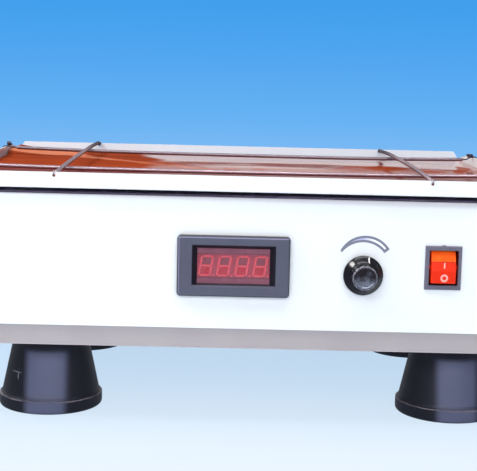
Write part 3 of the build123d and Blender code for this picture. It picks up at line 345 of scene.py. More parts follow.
class Finish:
    """A material being made, with its shader and the object's own coordinates."""

    def __init__(self, name, constants=None):
        material = bpy.data.materials.new(name)
        material.use_nodes = True
        finishes[name] = material
        self.tree = material.node_tree
        self.shader = self.tree.nodes["Principled BSDF"]
        self.place = add(self.tree, "ShaderNodeTexCoord", output="Object")
        self.colour = None
        for key, value in (constants or {}).items():
            self.feed(key, value)

    def feed(self, key, value):
        wire(self.tree, self.shader.inputs[key], value)

    def axes(self):
        """The three coordinates of a point, in metres."""
        x = add(self.tree, "ShaderNodeSeparateXYZ", {0: self.place})
        return x, x.beside("Y"), x.beside("Z")

    def effect(self, name, place=None, **inputs):
        """Place one of the shared node groups."""
        node = self.tree.nodes.new("ShaderNodeGroup")
        node.node_tree = bpy.data.node_groups[name]
        for key, value in {"Vector": place or self.place, **inputs}.items():
            wire(self.tree, node.inputs[key], value)
        return Term(self.tree, node.outputs[0])

    def drift(self, scale, low=0.0, high=1.0, place=None):
        """A soft cloudy variation between two values."""
        return self.effect("Soft variation", place, Scale=scale, Low=low, High=high)

    def paint(self, mask, first, second):
        """Set the base colour to a mix of two colours."""
        first, second = (
            srgb(*tone) if isinstance(tone, tuple) and len(tone) == 3 else tone
            for tone in (first, second)
        )
        self.colour = add(
            self.tree, "ShaderNodeMix", {0: mask, 6: first, 7: second}, 2, data_type="RGBA",
            clamp_factor=True,
        )
        self.feed("Base Color", self.colour)

    def lay(self, mask, tone):
        """Lay a colour over what the base colour is now."""
        self.paint(mask, self.colour, tone)

    def gloss(self, scale, low, high):
        self.feed("Roughness", self.drift(scale, low, high))

    def glow(self):
        """Let the surface shine faintly in its own colour."""
        self.feed("Emission Color", self.colour)

    def bump(self, height, distance, strength):
        self.feed("Normal", add(self.tree, "ShaderNodeBump", {
            "Height": height, "Distance": distance, "Strength": strength}))


def plain_finish(name, light, dark, rough, scale, constants=None, relief=FINE_RELIEF):
    """A finish whose colour and gloss drift softly, over a fine relief."""
    finish = Finish(name, constants)
    finish.paint(finish.drift(scale), light, dark)
    finish.gloss(scale * 2.3, *rough)
    distance, strength, fine = relief
    finish.bump(finish.effect("Orange peel", Scale=fine), distance, strength)
    return finish


def drawn_metal(name, light, dark, rough, stretch, strength):
    """Bare metal with fine drawn or turned lines."""
    metal = Finish(name, {"Metallic": 1.0})
    lines = metal.effect("Drawn lines", Stretch=stretch)
    metal.paint(lines, light, dark)
    metal.gloss(90.0, *rough)
    metal.bump(lines, 0.00003, strength)


def build_finishes(colours, sizes):
    """Make every material of the shaker."""
    build_groups()
    for row in PLAIN_FINISHES:
        plain_finish(*row)
    for row in DRAWN_METALS:
        drawn_metal(*row)
    build_enamels(tuple(colours.enamel), tuple(colours.base))
    build_rubber(tuple(colours.rubber))
    build_mat(tuple(colours.mat))
    build_bezels(tuple(colours.meter))
    build_spring_steel()
    build_display(tuple(colours.lit), sizes)
    build_rocker_plastic(tuple(colours.rocker))
    build_print(tuple(colours.print_ink))
    build_cap_metal()


def build_enamels(enamel, base):
    """Powder coat of the tray, the cover and the base pan, with painted shade under the tray, below
    its lip and on its left wall, a painted cool light on its rear wall, and a painted highlight on
    the pan's bottom edge.
    """
    dimmer = (*(0.975 * channel for channel in enamel[:3]), 1.0)
    tray, cover = (
        plain_finish(name, enamel, dimmer, (0.3, 0.4), 14.0, {"Specular IOR Level": 0.45},
                     (0.00004, 0.12, 700.0))
        for name in ("enamel", "cover_enamel")
    )
    x, y, z = tray.axes()
    # Painted light: a cool blue tint on the tray's rear wall.
    tray.lay(y.ramp(0.1522, 0.1532), (228, 243, 255))
    # Painted shade on the inner face of the left wall.
    tray.lay(x.ramp(-0.2125, -0.2135) * z.ramp(0.1802, 0.1794), (196, 186, 196))
    x, y, z = cover.axes()
    # Painted shade on the cover's deck and its front bend, where the tray keeps the light off; the
    # deck's top takes a lighter shade than the bend.
    tray_shade_span = x.within(-0.205, 0.187, 0.006)
    cover.lay(z.ramp(0.1647, 0.1652) * tray_shade_span, (46, 38, 52))
    cover.lay(z.ramp(0.1657, 0.1659) * tray_shade_span, (150, 132, 164))
    # Painted shadow of the tray's lip on the front panel, reaching further down towards the right.
    reach = x.ramp(-0.2, 0.15, 0.002, 0.0062, "LINEAR")
    lip_shadow = ((0.1656 - z) / reach).ramp(1.0, 0.1) * y.ramp(-0.1488, -0.1495)
    cover.lay(lip_shadow * 0.75, (186, 180, 188))
    pan = plain_finish("base_enamel", base, (176, 166, 169), (0.38, 0.5), 26.0,
                       {"Specular IOR Level": 0.4}, (0.00004, 0.15, 700.0))
    # Painted highlight along the pan's bottom edge.
    pan.lay(pan.axes()[2].ramp(0.0585, 0.0575), (212, 196, 196))


def build_bezels(tone):
    """Moulded grey bezels of the meter and the switch, with a painted highlight on the meter's top
    and left chamfers, painted shade on its outer edges and sides, and painted shade inside both
    openings, near black in the meter's and maroon in the switch's.
    """
    meter = plain_finish("meter_plastic", tone, (82, 84, 104), (0.36, 0.5), 80.0, None,
                         MOULDED_RELIEF)
    x, y, z = meter.axes()
    # Painted highlight on the top and left chamfers.
    meter.lay(z.ramp(0.1367, 0.1371).larger(x.ramp(-0.0524, -0.0528)), (120, 120, 148))
    # Painted shade on the bezel's outer edges and its side faces.
    face = x.within(-0.0532, 0.0242, 0.0002) * z.within(0.0963, 0.1376, 0.0002)
    meter.lay(1.0 - face, (52, 52, 64))
    meter.lay(y.ramp(-0.1537, -0.1533), (34, 34, 44))
    # Painted shade, near black, inside the meter's recess.
    recess = x.within(-0.0438, 0.0149, 0.0001) * z.within(0.1038, 0.1321, 0.0001)
    meter.lay(recess, (14, 14, 30))
    panel = plain_finish("panel_plastic", (112, 108, 124), (100, 98, 116), (0.34, 0.46), 90.0,
                         None, MOULDED_RELIEF)
    x, _, z = panel.axes()
    # Painted shade, maroon, inside the switch's opening.
    opening_shade = x.within(0.1228, 0.1432, 0.0001) * z.within(0.1068, 0.1312, 0.0001)
    panel.lay(opening_shade, (88, 12, 34))


def build_rubber(tone):
    """Moulded rubber: a painted bluish highlight down the front of the front feet, scuffs, dust
    specks, and a broken pale line along the bead's edge.
    """
    rubber = plain_finish(
        "rubber", tone, (11, 11, 16), (0.4, 0.5), 55.0,
        {"Specular IOR Level": 0.8, "Specular Tint": (0.72, 0.76, 1.0, 1.0)},
        (0.00012, 0.25, 1300.0),
    )
    x, y, z = rubber.axes()
    # Painted highlight: a soft bluish band down the front of each front foot, where a broad lamp
    # would be reflected.
    painted_highlight = (abs(x - 0.0012).within(0.1362, 0.1652, 0.0035) * y.ramp(-0.1, -0.108)
             * z.ramp(0.0475, 0.0425) * (1.0 - z.within(0.0092, 0.0122, 0.0006) * 0.5))
    rubber.lay(painted_highlight * 0.85, (94, 97, 124))
    level = z + rubber.drift(160.0, -0.0003, 0.0003)
    line = (1.0 - abs(level - 0.0095).ramp(0.0001, 0.0005)) * rubber.drift(75.0, 0.1, 0.75)
    specks = rubber.effect("Specks", Scale=420.0, Size=0.14)
    scuff = oval(x, z, (-0.1718, 0.0288), (0.004, 0.0004)).larger(
        oval(x, z, (-0.1706, 0.0262), (0.0005, 0.0028)))
    rubber.lay(line.larger((specks * 0.12).larger(scuff * 0.45)), (158, 150, 158))


def build_mat(brown):
    """Brown mat, bare at the left and under a glossy film elsewhere, with worn patches, a pale
    streak at the rear left as a painted reflection, and a dark band along the front spring as a
    painted reflection.
    """
    mat = Finish("mat", {"Specular IOR Level": 0.0, "Coat Roughness": 0.09, "Coat IOR": 1.5})
    stretched = add(mat.tree, "ShaderNodeMapping", {
        "Vector": mat.place, "Scale": (9.0, 40.0, 20.0)})
    wander = mat.drift(0.8, -5.0, 5.0, stretched)
    x, y = (axis / MM + wander for axis in mat.axes()[:2])
    ahead = 113.0 - y
    border = ahead * (ahead.larger(0.0) * 0.0016 + 0.25) - 97.0
    limit = x.ramp(58.0, 84.0) * 46.0 - x.ramp(113.0, 132.0) * 20.0 + 2.0
    front = x.ramp(45.0, 120.0, 0.62, 0.28) + x.ramp(138.0, 160.0) * 0.3
    rear = (y - limit).ramp(-9.0, 9.0)
    film = (x - border).ramp(-3.0, 11.0) * ((1.0 - front) * rear + front)
    film = film.larger(x.ramp(-92.0, -76.0) * y.ramp(62.0, 38.0) * 0.45)
    for across, middle, reach, strength in (
        (x - y * 0.18, (171.2, 32.0), (6.5, 42.0), 0.8),
        (x, (113.0, 28.0), (20.0, 22.0), 0.8), (x, (148.0, 9.0), (15.0, 10.0), 0.7),
        (x, (-40.0, 31.0), (10.0, 5.0), 0.5), (x, (-19.0, -16.0), (8.0, 9.0), 0.35),
        (x, (5.0, -12.0), (7.0, 8.0), 0.35), (x, (-85.0, 25.0), (16.0, 20.0), 0.6),
    ):
        film = film * (1.0 - oval(across, y, middle, reach) * strength)
    # Painted reflection of the front lip and spring: a dark band along the front spring, which also
    # thins the film.
    shaded = y.within(-92.0, -42.0, 9.0)
    film = film.larger(y.ramp(-20.0, -90.0) * 0.16 + 0.02) * (1.0 - shaded * 0.45)
    mat.feed("Coat Weight", film * mat.drift(2.2, 0.86, 1.0, stretched))
    mat.paint(mat.drift(1.0, place=stretched), brown, (168, 72, 34))
    mat.lay(mat.drift(24.0) * 0.4, (124, 44, 24))
    # Painted reflection of the rear wall: a pale streak from the rear left towards the middle.
    slant = y - 88.0 + (x + 160.0).larger(0.0) * 0.95
    wide = x.ramp(-140.0, -165.0) * 34.0 + 18.0
    reflected_streak = slant.ramp(-3.0, 3.0) * (slant - wide).ramp(3.0, -3.0)
    strength = (x.ramp(-80.0, -155.0) * 0.45 + 0.35) * x.ramp(-25.0, -70.0)
    mat.lay(reflected_streak * strength, (226, 138, 104))
    mat.lay(shaded * 0.65, (92, 46, 56))
    mat.gloss(30.0, 0.5, 0.65)
    mat.bump(clouds(mat.tree, stretched, 1.6), 0.0006, 0.2)


def build_spring_steel():
    """Wound wire with painted shade towards the rear of the side springs and along the rear spring,
    and a darker, shaded copy of the steel for most end hooks and the knots.
    """
    spring = Finish("spring_steel", {"Metallic": 1.0})
    hook = Finish("shaded_hook_steel", {"Metallic": 1.0})
    spring.paint(spring.drift(30.0), (206, 186, 196), (184, 165, 175))
    spring.gloss(60.0, 0.36, 0.46)
    # The hooks' steel is a darker, shaded copy of the spring steel.
    hook.paint(hook.drift(30.0), (92, 86, 100), (66, 60, 74))
    hook.gloss(60.0, 0.3, 0.45)
    x, y, _ = spring.axes()
    # Painted shade: the side springs darken towards the rear, and the rear spring is darker all
    # along.
    sides = x.within(-0.1425, -0.1375, 0.0002).larger(x.within(0.1195, 0.1245, 0.0002))
    spring.lay(y.ramp(0.0, 0.12) * sides * 0.85, (88, 82, 96))
    spring.lay(y.within(0.0775, 0.0825, 0.0002) * 0.6, (128, 122, 134))


def build_display(lit, sizes):
    """Tinted window, the mottled face behind it with a painted glow, and the lit segments."""
    low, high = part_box("meter_display")
    window = Finish("window", {"Specular IOR Level": 0.5})
    clear = window.axes()[2].within(low[2] + 0.0008, high[2] - 0.0008, 0.0005)
    window.feed("Alpha", 0.86 - clear * 0.7)
    window.paint(window.drift(130.0), (152, 96, 112), (136, 84, 102))
    window.gloss(60.0, 0.1, 0.18)
    face = Finish("display_face", {"Roughness": 0.55, "Emission Strength": 0.3})
    x, _, z = face.axes()
    mottle = face.drift(260.0, 0.45, 1.0)
    lift = z - ((low[2] + high[2]) / 2 - DIGIT_DROP * MM)
    first = (low[0] + high[0] - sizes.digits * sizes.digit_pitch) / 2 - DIGIT_SHIFT * MM
    across = (x - lift * math.tan(sizes.digit_slant) - first) / sizes.digit_pitch
    loop = across.maths("FRACT", across).within(0.27, 0.73, 0.05)
    face.paint(lift.within(-0.0078, 0.0085, 0.0014) * mottle, (142, 92, 108), (178, 62, 76))
    face.lay(loop * lift.within(0.0007, 0.006, 0.0005) * 0.8, (132, 74, 84))
    face.lay(loop * lift.within(-0.006, -0.0007, 0.0005) * mottle, (196, 40, 50))
    # Painted glow: the face shines faintly in its own colour.
    face.glow()
    segment = Finish("lit_segment", {"Emission Strength": 0.5})
    segment.paint(segment.drift(900.0), lit, (212, 78, 90))
    segment.glow()


def build_rocker_plastic(red):
    """Clear red plastic, with a painted orange copy for the lit upper half and a painted shade line
    at the fold between them.
    """
    for name, light, dark in (
        ("rocker_red", red, (226, 42, 14)), ("rocker_orange", (255, 98, 18), (250, 84, 14)),
    ):
        plastic = plain_finish(name, light, dark, (0.3, 0.4), 240.0,
                               {"Specular IOR Level": 0.15, "Emission Strength": 0.08},
                               (0.00002, 0.15, 1400.0))
        # Painted shade: a dark line along the fold.
        plastic.lay(plastic.axes()[2].within(0.1233, 0.1237, 0.0001), (168, 26, 22))
        plastic.glow()


def build_print(ink):
    """Screen print: the outline and the fading fill."""
    plain_finish("print_ink", ink, (120, 124, 144), (0.4, 0.5), 500.0)
    fade = Finish("print_fade", {"Roughness": 0.42})
    fade.paint(fade.axes()[0].ramp(0.074, 0.084) + fade.drift(700.0, -0.08, 0.08),
               (192, 192, 226), (250, 252, 255))


def build_cap_metal():
    """Spun cap with turned rings, painted dark above and clouded grey-blue below as a painted
    reflection.
    """
    cap = Finish("cap_metal", {"Metallic": 0.7, "Coat Weight": 0.5, "Coat Roughness": 0.08})
    x, _, z = cap.axes()
    across, up = x - 0.0765, z - 0.1126
    # Painted reflection: dark towards the top, lighter grey-blue towards the bottom.
    cap.paint(up.ramp(0.003, -0.006) + cap.drift(420.0, -0.35, 0.35), (46, 38, 46),
              (150, 156, 174))
    turned = (across ** 2.0 + up ** 2.0) ** 0.5 * 9000.0
    cap.bump(turned.maths("SINE", turned), 0.00002, 0.2)
    cap.gloss(500.0, 0.18, 0.4)


def middle_of(name):
    """Middle of a CAD node's box across and up, in millimetres."""
    low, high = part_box(name)
    return (low[0] + high[0]) / 2 / MM, (low[2] + high[2]) / 2 / MM


def new_object(name, data):
    """Put a new object in the scene."""
    made = bpy.data.objects.new(name, data)
    bpy.context.scene.collection.objects.link(made)
    return made


def make_piece(name, mesh, body, replaced=()):
    """Put a finished mesh in the scene and hand it to the frame."""
    piece = new_object(name, mesh)
    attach(piece, body)
    if replaced:
        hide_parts(*replaced)


def mesh_from(name, points, faces, finish_names, smooth=True):
    """Mesh from points in millimetres and faces with their finish numbers."""
    mesh = bpy.data.meshes.new(name)
    mesh.from_pydata([Vector(p) * MM for p in points], [], [list(f[0]) for f in faces])
    for finish in finish_names:
        mesh.materials.append(finishes[finish])
    for polygon, face in zip(mesh.polygons, faces):
        polygon.material_index = face[1]
        polygon.use_smooth = smooth
    mesh.validate()
    mesh.update()
    return mesh


@contextmanager
def edited(mesh):
    """Open a mesh for editing, and write it back."""
    shape = bmesh.new()
    shape.from_mesh(mesh)
    yield shape
    shape.to_mesh(mesh)
    shape.free()


def outward(mesh):
    """Merge doubles and turn every face of a closed mesh outwards."""
    with edited(mesh) as shape:
        bmesh.ops.remove_doubles(shape, verts=shape.verts, dist=1e-7)
        bmesh.ops.recalc_face_normals(shape, faces=shape.faces)


def crease(mesh, degrees):
    """Smooth shading with hard edges above an angle."""
    limit = math.radians(degrees)
    with edited(mesh) as shape:
        for edge in shape.edges:
            edge.smooth = len(edge.link_faces) == 2 and edge.calc_face_angle(0.0) < limit
        for face in shape.faces:
            face.smooth = True


def solid(name, points, faces, finish_names, degrees=None):
    """Closed mesh with its faces outwards, flat or smooth below an angle."""
    mesh = mesh_from(name, points, faces, finish_names, degrees is not None)
    outward(mesh)
    if degrees is not None:
        crease(mesh, degrees)
    return mesh


def joined(name, meshes):
    """One mesh of several, keeping their finish."""
    whole = bpy.data.meshes.new(name)
    for material in meshes[0].materials:
        whole.materials.append(material)
    with edited(whole) as shape:
        for mesh in meshes:
            shape.from_mesh(mesh)
    return whole


def skin(loops, finish=0, capped=True):
    """Faces round a row of closed loops of point numbers, and over both its ends."""
    faces = []
    for low, high in zip(loops, loops[1:]):
        for step in range(len(low)):
            after = (step + 1) % len(low)
            corners = dict.fromkeys((low[step], low[after], high[after], high[step]))
            if len(corners) > 2:
                faces.append((list(corners), finish))
    if capped:
        faces += [(loops[0][::-1], finish), (loops[-1], finish)]
    return faces


def lathe(profile, segments, place, radius_at=None):
    """Rings of points turned round an axis, with poles where the radius is zero.

    A profile entry is (radius, height) or (radius, height, finish number of its band)."""
    points = []
    rings = []
    for index, (radius, height, *_) in enumerate(profile):
        if radius == 0:
            rings.append([len(points)] * segments)
            points.append(place(0.0, 0.0, height))
            continue
        rings.append(range(len(points), len(points) + segments))
        for step in range(segments):
            angle = FULL_TURN * step / segments
            true_radius = radius_at(index, radius, angle) if radius_at else radius
            points.append(
                place(true_radius * math.cos(angle), true_radius * math.sin(angle), height)
            )
    faces = []
    for low, high, entry in zip(rings, rings[1:], profile):
        faces += skin((low, high), entry[2] if len(entry) > 2 else 0, capped=False)
    return points, faces


def tube(path, radius, finish):
    """Round wire with flat ends along a list of points, with a steady frame."""
    sides = 10
    path = [Vector(p) for p in path]
    points = []
    side = (path[1] - path[0]).normalized().orthogonal().normalized()
    for index, centre in enumerate(path):
        before = path[max(index - 1, 0)]
        after = path[min(index + 1, len(path) - 1)]
        ahead = (after - before).normalized()
        side = (side - ahead * side.dot(ahead)).normalized()
        other = ahead.cross(side)
        for step in range(sides):
            angle = FULL_TURN * step / sides
            points.append(centre + radius * (math.cos(angle) * side + math.sin(angle) * other))
    return points, skin([range(a, a + sides) for a in range(0, len(points), sides)], finish)


def rounded_path(corners, radius):
    """Polyline with each inner corner rounded."""
    steps = 5
    corners = [Vector(c) for c in corners]
    path = [corners[0]]
    for before, corner, after in zip(corners, corners[1:], corners[2:]):
        back, ahead = before - corner, after - corner
        reach = min(radius, back.length * 0.45, ahead.length * 0.45)
        start = corner + back.normalized() * reach
        finish = corner + ahead.normalized() * reach
        for step in range(steps + 1):
            t = step / steps
            path.append((1 - t) ** 2 * start + 2 * t * (1 - t) * corner + t * t * finish)
    return path + [corners[-1]]


def guide(name, points, edges=(), attributes=None):
    """Mesh of bare points in millimetres for a node tree, with its point attributes."""
    mesh = bpy.data.meshes.new(name)
    mesh.from_pydata([Vector(p) * MM for p in points], list(edges), [])
    for label, values in (attributes or {}).items():
        directed = isinstance(values[0], tuple)
        kind, field = ("FLOAT_VECTOR", "vector") if directed else ("FLOAT", "value")
        for item, value in zip(mesh.attributes.new(label, kind, "POINT").data, values):
            setattr(item, field, value)
    return mesh


def run_tree(tree, base_mesh, values, name):
    """Run a geometry node tree on a base mesh and return the plain mesh that it makes."""
    holder = new_object(name + "_base", base_mesh)
    modifier = holder.modifiers.new("build", "NODES")
    modifier.node_group = tree
    for item in tree.interface.items_tree:
        if item.in_out == "INPUT" and item.name in values:
            modifier[item.identifier] = values[item.name]
    graph = bpy.context.evaluated_depsgraph_get()
    mesh = bpy.data.meshes.new_from_object(holder.evaluated_get(graph))
    holder.modifiers.clear()
    bpy.data.objects.remove(holder, do_unlink=True)
    if not mesh.polygons:
        raise RuntimeError(name + " came out empty")
    mesh.name = name
    return mesh


def point_value(tree, name, kind):
    """A named value that the points of a guide carry."""
    return add(tree, "GeometryNodeInputNamedAttribute", {"Name": name}, "Attribute",
               data_type=kind)


def on_points(tree, guide_mesh, shape, rotation, scale=(1.0, 1.0, 1.0)):
    """Set a copy of a shape on each point of a guide."""
    points = add(tree, "GeometryNodeMeshToPoints", {"Mesh": guide_mesh})
    return add(tree, "GeometryNodeInstanceOnPoints", {
        "Points": points, "Instance": shape, "Rotation": rotation, "Scale": scale})


def combine(tree, x=0.0, y=0.0, z=0.0):
    """A vector of three values."""
    return add(tree, "ShaderNodeCombineXYZ", {"X": x, "Y": y, "Z": z})


def close_tree(tree, geometry, material, result):
    """Realize a tree's instances, set its material and give the result."""
    real = add(tree, "GeometryNodeRealizeInstances", {"Geometry": geometry})
    wire(tree, result, add(tree, "GeometryNodeSetMaterial", {
        "Geometry": real, "Material": material}))


def spring_tree():
    """Close-wound spring along a path, its end turns drawn in."""
    tree, given, result = start_group(
        "GeometryNodeTree", "Wound spring", "Geometry",
        {"Geometry": "Geometry", "Coil radius": "Float", "Wire radius": "Float", "Turns": "Int",
         "Points per turn": "Int", "End turns": "Float", "Material": "Material"},
    )
    curve = add(tree, "GeometryNodeMeshToCurve", {"Mesh": given["Geometry"]})
    even = add(tree, "GeometryNodeResampleCurve", {
        "Curve": curve, "Count": given["Turns"] * given["Points per turn"] + 1.0})
    turn = add(tree, "GeometryNodeSplineParameter", output="Index") / given["Points per turn"]
    drawn = (turn.smaller(given["Turns"] - turn) / given["End turns"]).smaller(1.0)
    spun = add(tree, "ShaderNodeVectorRotate", {
        "Vector": add(tree, "GeometryNodeInputNormal"),
        "Axis": add(tree, "GeometryNodeInputTangent"), "Angle": turn * FULL_TURN})
    offset = add(tree, "ShaderNodeVectorMath", {
        0: spun, "Scale": given["Coil radius"] * (drawn * 0.7 + 0.3)}, operation="SCALE")
    moved = add(tree, "GeometryNodeSetPosition", {"Geometry": even, "Offset": offset})
    section = add(tree, "GeometryNodeCurvePrimitiveCircle", {
        "Resolution": 5, "Radius": given["Wire radius"]})
    wound = add(tree, "GeometryNodeCurveToMesh", {
        "Curve": moved, "Profile Curve": section, "Fill Caps": True})
    smooth = add(tree, "GeometryNodeSetShadeSmooth", {"Geometry": wound})
    close_tree(tree, smooth, given["Material"], result)
    return tree


def segment_tree():
    """Six-sided bars on points, each turned by its own attribute, then leaned over."""
    # A hexagon of radius 0.5 measures 1 / 1.1547 across its flats.
    across_flats = 1.1547
    tree, given, result = start_group(
        "GeometryNodeTree", "Lit segments", "Geometry",
        {"Geometry": "Geometry", "Length": "Float", "Width": "Float", "Thickness": "Float",
         "Lean": "Float", "Middle height": "Float", "Material": "Material"},
    )
    bar = add(tree, "GeometryNodeMeshCircle", {"Vertices": 6, "Radius": 0.5}, fill_type="NGON")
    x = add(tree, "ShaderNodeSeparateXYZ", {0: add(tree, "GeometryNodeInputPosition")})
    shoulder = x.maths("GREATER_THAN", abs(x.beside("Y")), 0.1)
    straight = add(tree, "GeometryNodeSetPosition", {
        "Geometry": bar, "Selection": shoulder, "Offset": combine(tree, x * 0.64)})
    sized = add(tree, "GeometryNodeTransform", {
        "Geometry": straight,
        "Scale": combine(tree, given["Length"], given["Width"] * across_flats, 1.0)})
    thick = add(tree, "GeometryNodeExtrudeMesh", {
        "Mesh": sized, "Offset Scale": given["Thickness"]})
    stand = add(tree, "GeometryNodeTransform", {
        "Geometry": thick, "Rotation": (math.pi / 2, 0.0, 0.0)})
    turn, share = (point_value(tree, name, "FLOAT") for name in ("turn", "share"))
    placed = on_points(tree, given["Geometry"], stand, combine(tree, y=turn),
                       combine(tree, share, 1.0, 1.0))
    real = add(tree, "GeometryNodeRealizeInstances", {"Geometry": placed})
    height = add(tree, "ShaderNodeSeparateXYZ", {0: add(tree, "GeometryNodeInputPosition")}, "Z")
    lean = (height - given["Middle height"]) * given["Lean"]
    leaned = add(tree, "GeometryNodeSetPosition", {
        "Geometry": real, "Offset": combine(tree, lean)})
    close_tree(tree, leaned, given["Material"], result)
    return tree


def screw_tree():
    """A screw head on each point, turned to face along the point's own direction."""
    tree, given, result = start_group(
        "GeometryNodeTree", "Screw heads", "Geometry",
        {"Geometry": "Geometry", "Head": "Object", "Material": "Material"},
    )
    head = add(tree, "GeometryNodeObjectInfo", {"Object": given["Head"]}, "Geometry",
               transform_space="ORIGINAL")
    facing = point_value(tree, "facing", "FLOAT_VECTOR")
    turned = add(tree, "FunctionNodeAlignRotationToVector", {"Vector": facing}, axis="Z")
    placed = on_points(tree, given["Geometry"], head, turned)
    close_tree(tree, placed, given["Material"], result)
    return tree


class SHAKER_OT_finishes(bpy.types.Operator):
    """Give every CAD part its finish"""

    bl_idname = "shaker.finishes"
    bl_label = "Finishes"

    def execute(self, context):
        build_finishes(context.scene.shaker_colours, context.scene.shaker_sizes)
        for finish, names in DRESSED.items():
            for name in names.split():
                materials = nodes[name].data.materials
                materials.clear()
                materials.append(finishes[finish])
        return {"FINISHED"}


class SHAKER_OT_mat(bpy.types.Operator):
    """Lay the wavy mat in the tray, one corner curled up on the side lip"""

    bl_idname = "shaker.mat"
    bl_label = "Mat"

    def execute(self, context):
        sizes = context.scene.shaker_sizes
        (left, front, floor), (right, rear, top) = (
            [value / MM for value in corner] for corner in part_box("mat")
        )
        columns, rows = 150, 110
        tops, bottoms = [], []
        for row in range(rows + 1):
            for column in range(columns + 1):
                u, v = column / columns, row / rows
                x, y = left + u * (right - left), front + v * (rear - front)
                ripple = noise.noise(Vector((x * 0.011, y * 0.03, 3.1)))
                ripple += 0.4 * noise.noise(Vector((x * 0.03, y * 0.06, 8.7)))
                edge = min(u, 1 - u, v, 1 - v)
                swell = sizes.mat_wave / MM * (0.35 + ripple) * min(1.0, 0.4 + edge * 12)
                swell = max(swell, -0.2)
                back = min(max((y - 76.0) / 19.0, 0.0), 1.0)
                lift = sizes.mat_curl / MM * back * back * (3 - 2 * back)
                lift *= max(0.0, 1.0 - (x - left) / 46.0) ** 2
                x, y = self.rounded(x, y, left, right, front, rear)
                bottoms.append((x, y, floor + 0.05 + max(0.0, swell) * 0.4 + lift))
                tops.append((x, y, top + swell + lift))
        across, sheet = columns + 1, len(bottoms)
        faces = []
        for row in range(rows):
            for column in range(columns):
                a = row * across + column
                quad = (a, a + 1, a + across + 1, a + across)
                faces += [(quad, 0), ([corner + sheet for corner in quad], 0)]
        rim = [*range(columns), *range(columns, sheet - 1, across),
               *range(sheet - 1, sheet - across, -1), *range(sheet - across, 0, -across)]
        faces += skin((rim, [corner + sheet for corner in rim]), capped=False)
        mesh = solid("tray_mat", bottoms + tops, faces, ["mat"], 50)
        make_piece("tray_mat", mesh, "tray_carriage", ["mat"])
        return {"FINISHED"}

    def rounded(self, x, y, left, right, front, rear):
        """Pull a point near a corner of the mat in to the corner's round."""
        cut = 3.0
        near = Vector((min(x - left, right - x), min(y - front, rear - y)))
        if near.x < cut and near.y < cut:
            away = Vector((cut, cut)) - near
            if away.length > cut:
                away *= cut / away.length
            x = left + cut - away.x if x < (left + right) / 2 else right - cut + away.x
            y = front + cut - away.y if y < (front + rear) / 2 else rear - cut + away.y
        return x, y


class SHAKER_OT_springs(bpy.types.Operator):
    """Wind the four long springs and bend their end hooks"""

    bl_idname = "shaker.springs"
    bl_label = "Springs"

    def execute(self, context):
        sizes = context.scene.shaker_sizes
        tree = spring_tree()
        twists = ((-202.3, 183.3, 4.4), (201.9, 181.9, 6.4))
        # Side, offset, lip, heights at the first end, the middle and the last, end knots.
        for row in (
            ("front", -80.0, 206.0, (178.2, 176.6, 178.5), twists),
            ("rear", 80.0, 206.0, (180.0, 177.5, 178.7), twists),
            ("left", TRAY_X - 131.0, 155.0, (179.0, 181.6, 181.4), (None, (151.8, 180.3, 3.0))),
            ("right", TRAY_X + 131.0, 155.0, (180.0, 182.0, 179.8), (None, (151.8, 179.4, 3.0))),
        ):
            self.wind(sizes, tree, *row)
        return {"FINISHED"}

    def wind(self, sizes, tree, place, offset, lip, heights, knots):
        """One spring: its wound length, and a hook and a knot at each end."""
        name = place + "_spring"
        across = place in ("front", "rear")
        wire_mm = sizes.wire_radius / MM
        hook_mm = sizes.hook_radius / MM
        lip_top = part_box("tray")[1][2] / MM
        hole = lip_top - 2.3
        top = lip_top + hook_mm + 0.1
        reach = lip - 9.2
        near, middle, far = heights
        wound_finishes = ["spring_steel", "shaded_hook_steel"]

        def spot(along, up, aside=0.0):
            if across:
                return (TRAY_X + along, offset + aside, up)
            return (offset - aside, along, up)

        path = []
        for step in range(33):
            share = -1 + step / 16
            tilt = (far - near) / 2 * share
            sag = ((far + near) / 2 - middle) * abs(share) ** 3
            path.append(spot(reach * share, middle + tilt + sag))
        wound = run_tree(
            tree, guide(name + "_path", path, [(i, i + 1) for i in range(32)]),
            {"Coil radius": sizes.coil_radius - sizes.wire_radius,
             "Wire radius": sizes.wire_radius, "Turns": int(2 * reach / (1.5 * wire_mm)),
             "Points per turn": 9, "End turns": 6.0, "Material": finishes["spring_steel"]},
            name,
        )
        wound.materials.append(finishes["shaded_hook_steel"])
        parts = [wound]
        for side, end_z, knot in ((-1, near, knots[0]), (1, far, knots[1])):
            if knot:
                twist = self.twist(knot, 1.25 if across else 1.1, spot)
            else:
                twist = [spot(side * (lip + 1.9), hole + 0.4), spot(side * (lip + 0.5), hole + 0.1)]
            corners = [
                spot(side * (reach - 2.0), end_z), spot(side * (reach + 2.2), end_z),
                spot(side * (lip - 3.2), top), spot(side * (lip + 1.4), top),
                spot(side * (lip + 1.4), hole), spot(side * (lip - 0.6), hole),
            ]
            # Painted light: the front hooks of the side springs keep the light spring steel, and
            # all other hooks take the shaded copy.
            hook_finish = 1 if across or side > 0 else 0
            for label, (points, faces) in (
                ("_knot", tube(twist, 0.6, 1)),
                ("_hook", tube(rounded_path(corners, 1.3), hook_mm, hook_finish)),
            ):
                parts.append(mesh_from(name + label, points, faces, wound_finishes))
        make_piece(name, joined(name, parts), "tray_carriage",
                   ["spring_" + place])

    def twist(self, knot, radius, spot):
        """Four turns of the hook's wire about itself."""
        along, up, extent = knot
        path = []
        for step in range(49):
            angle = FULL_TURN * step / 12
            shift = (step / 48 - 0.5) * (extent - 1.0)
            path.append(spot(along + shift, up + radius * math.sin(angle),
                             radius * math.cos(angle)))
        return path


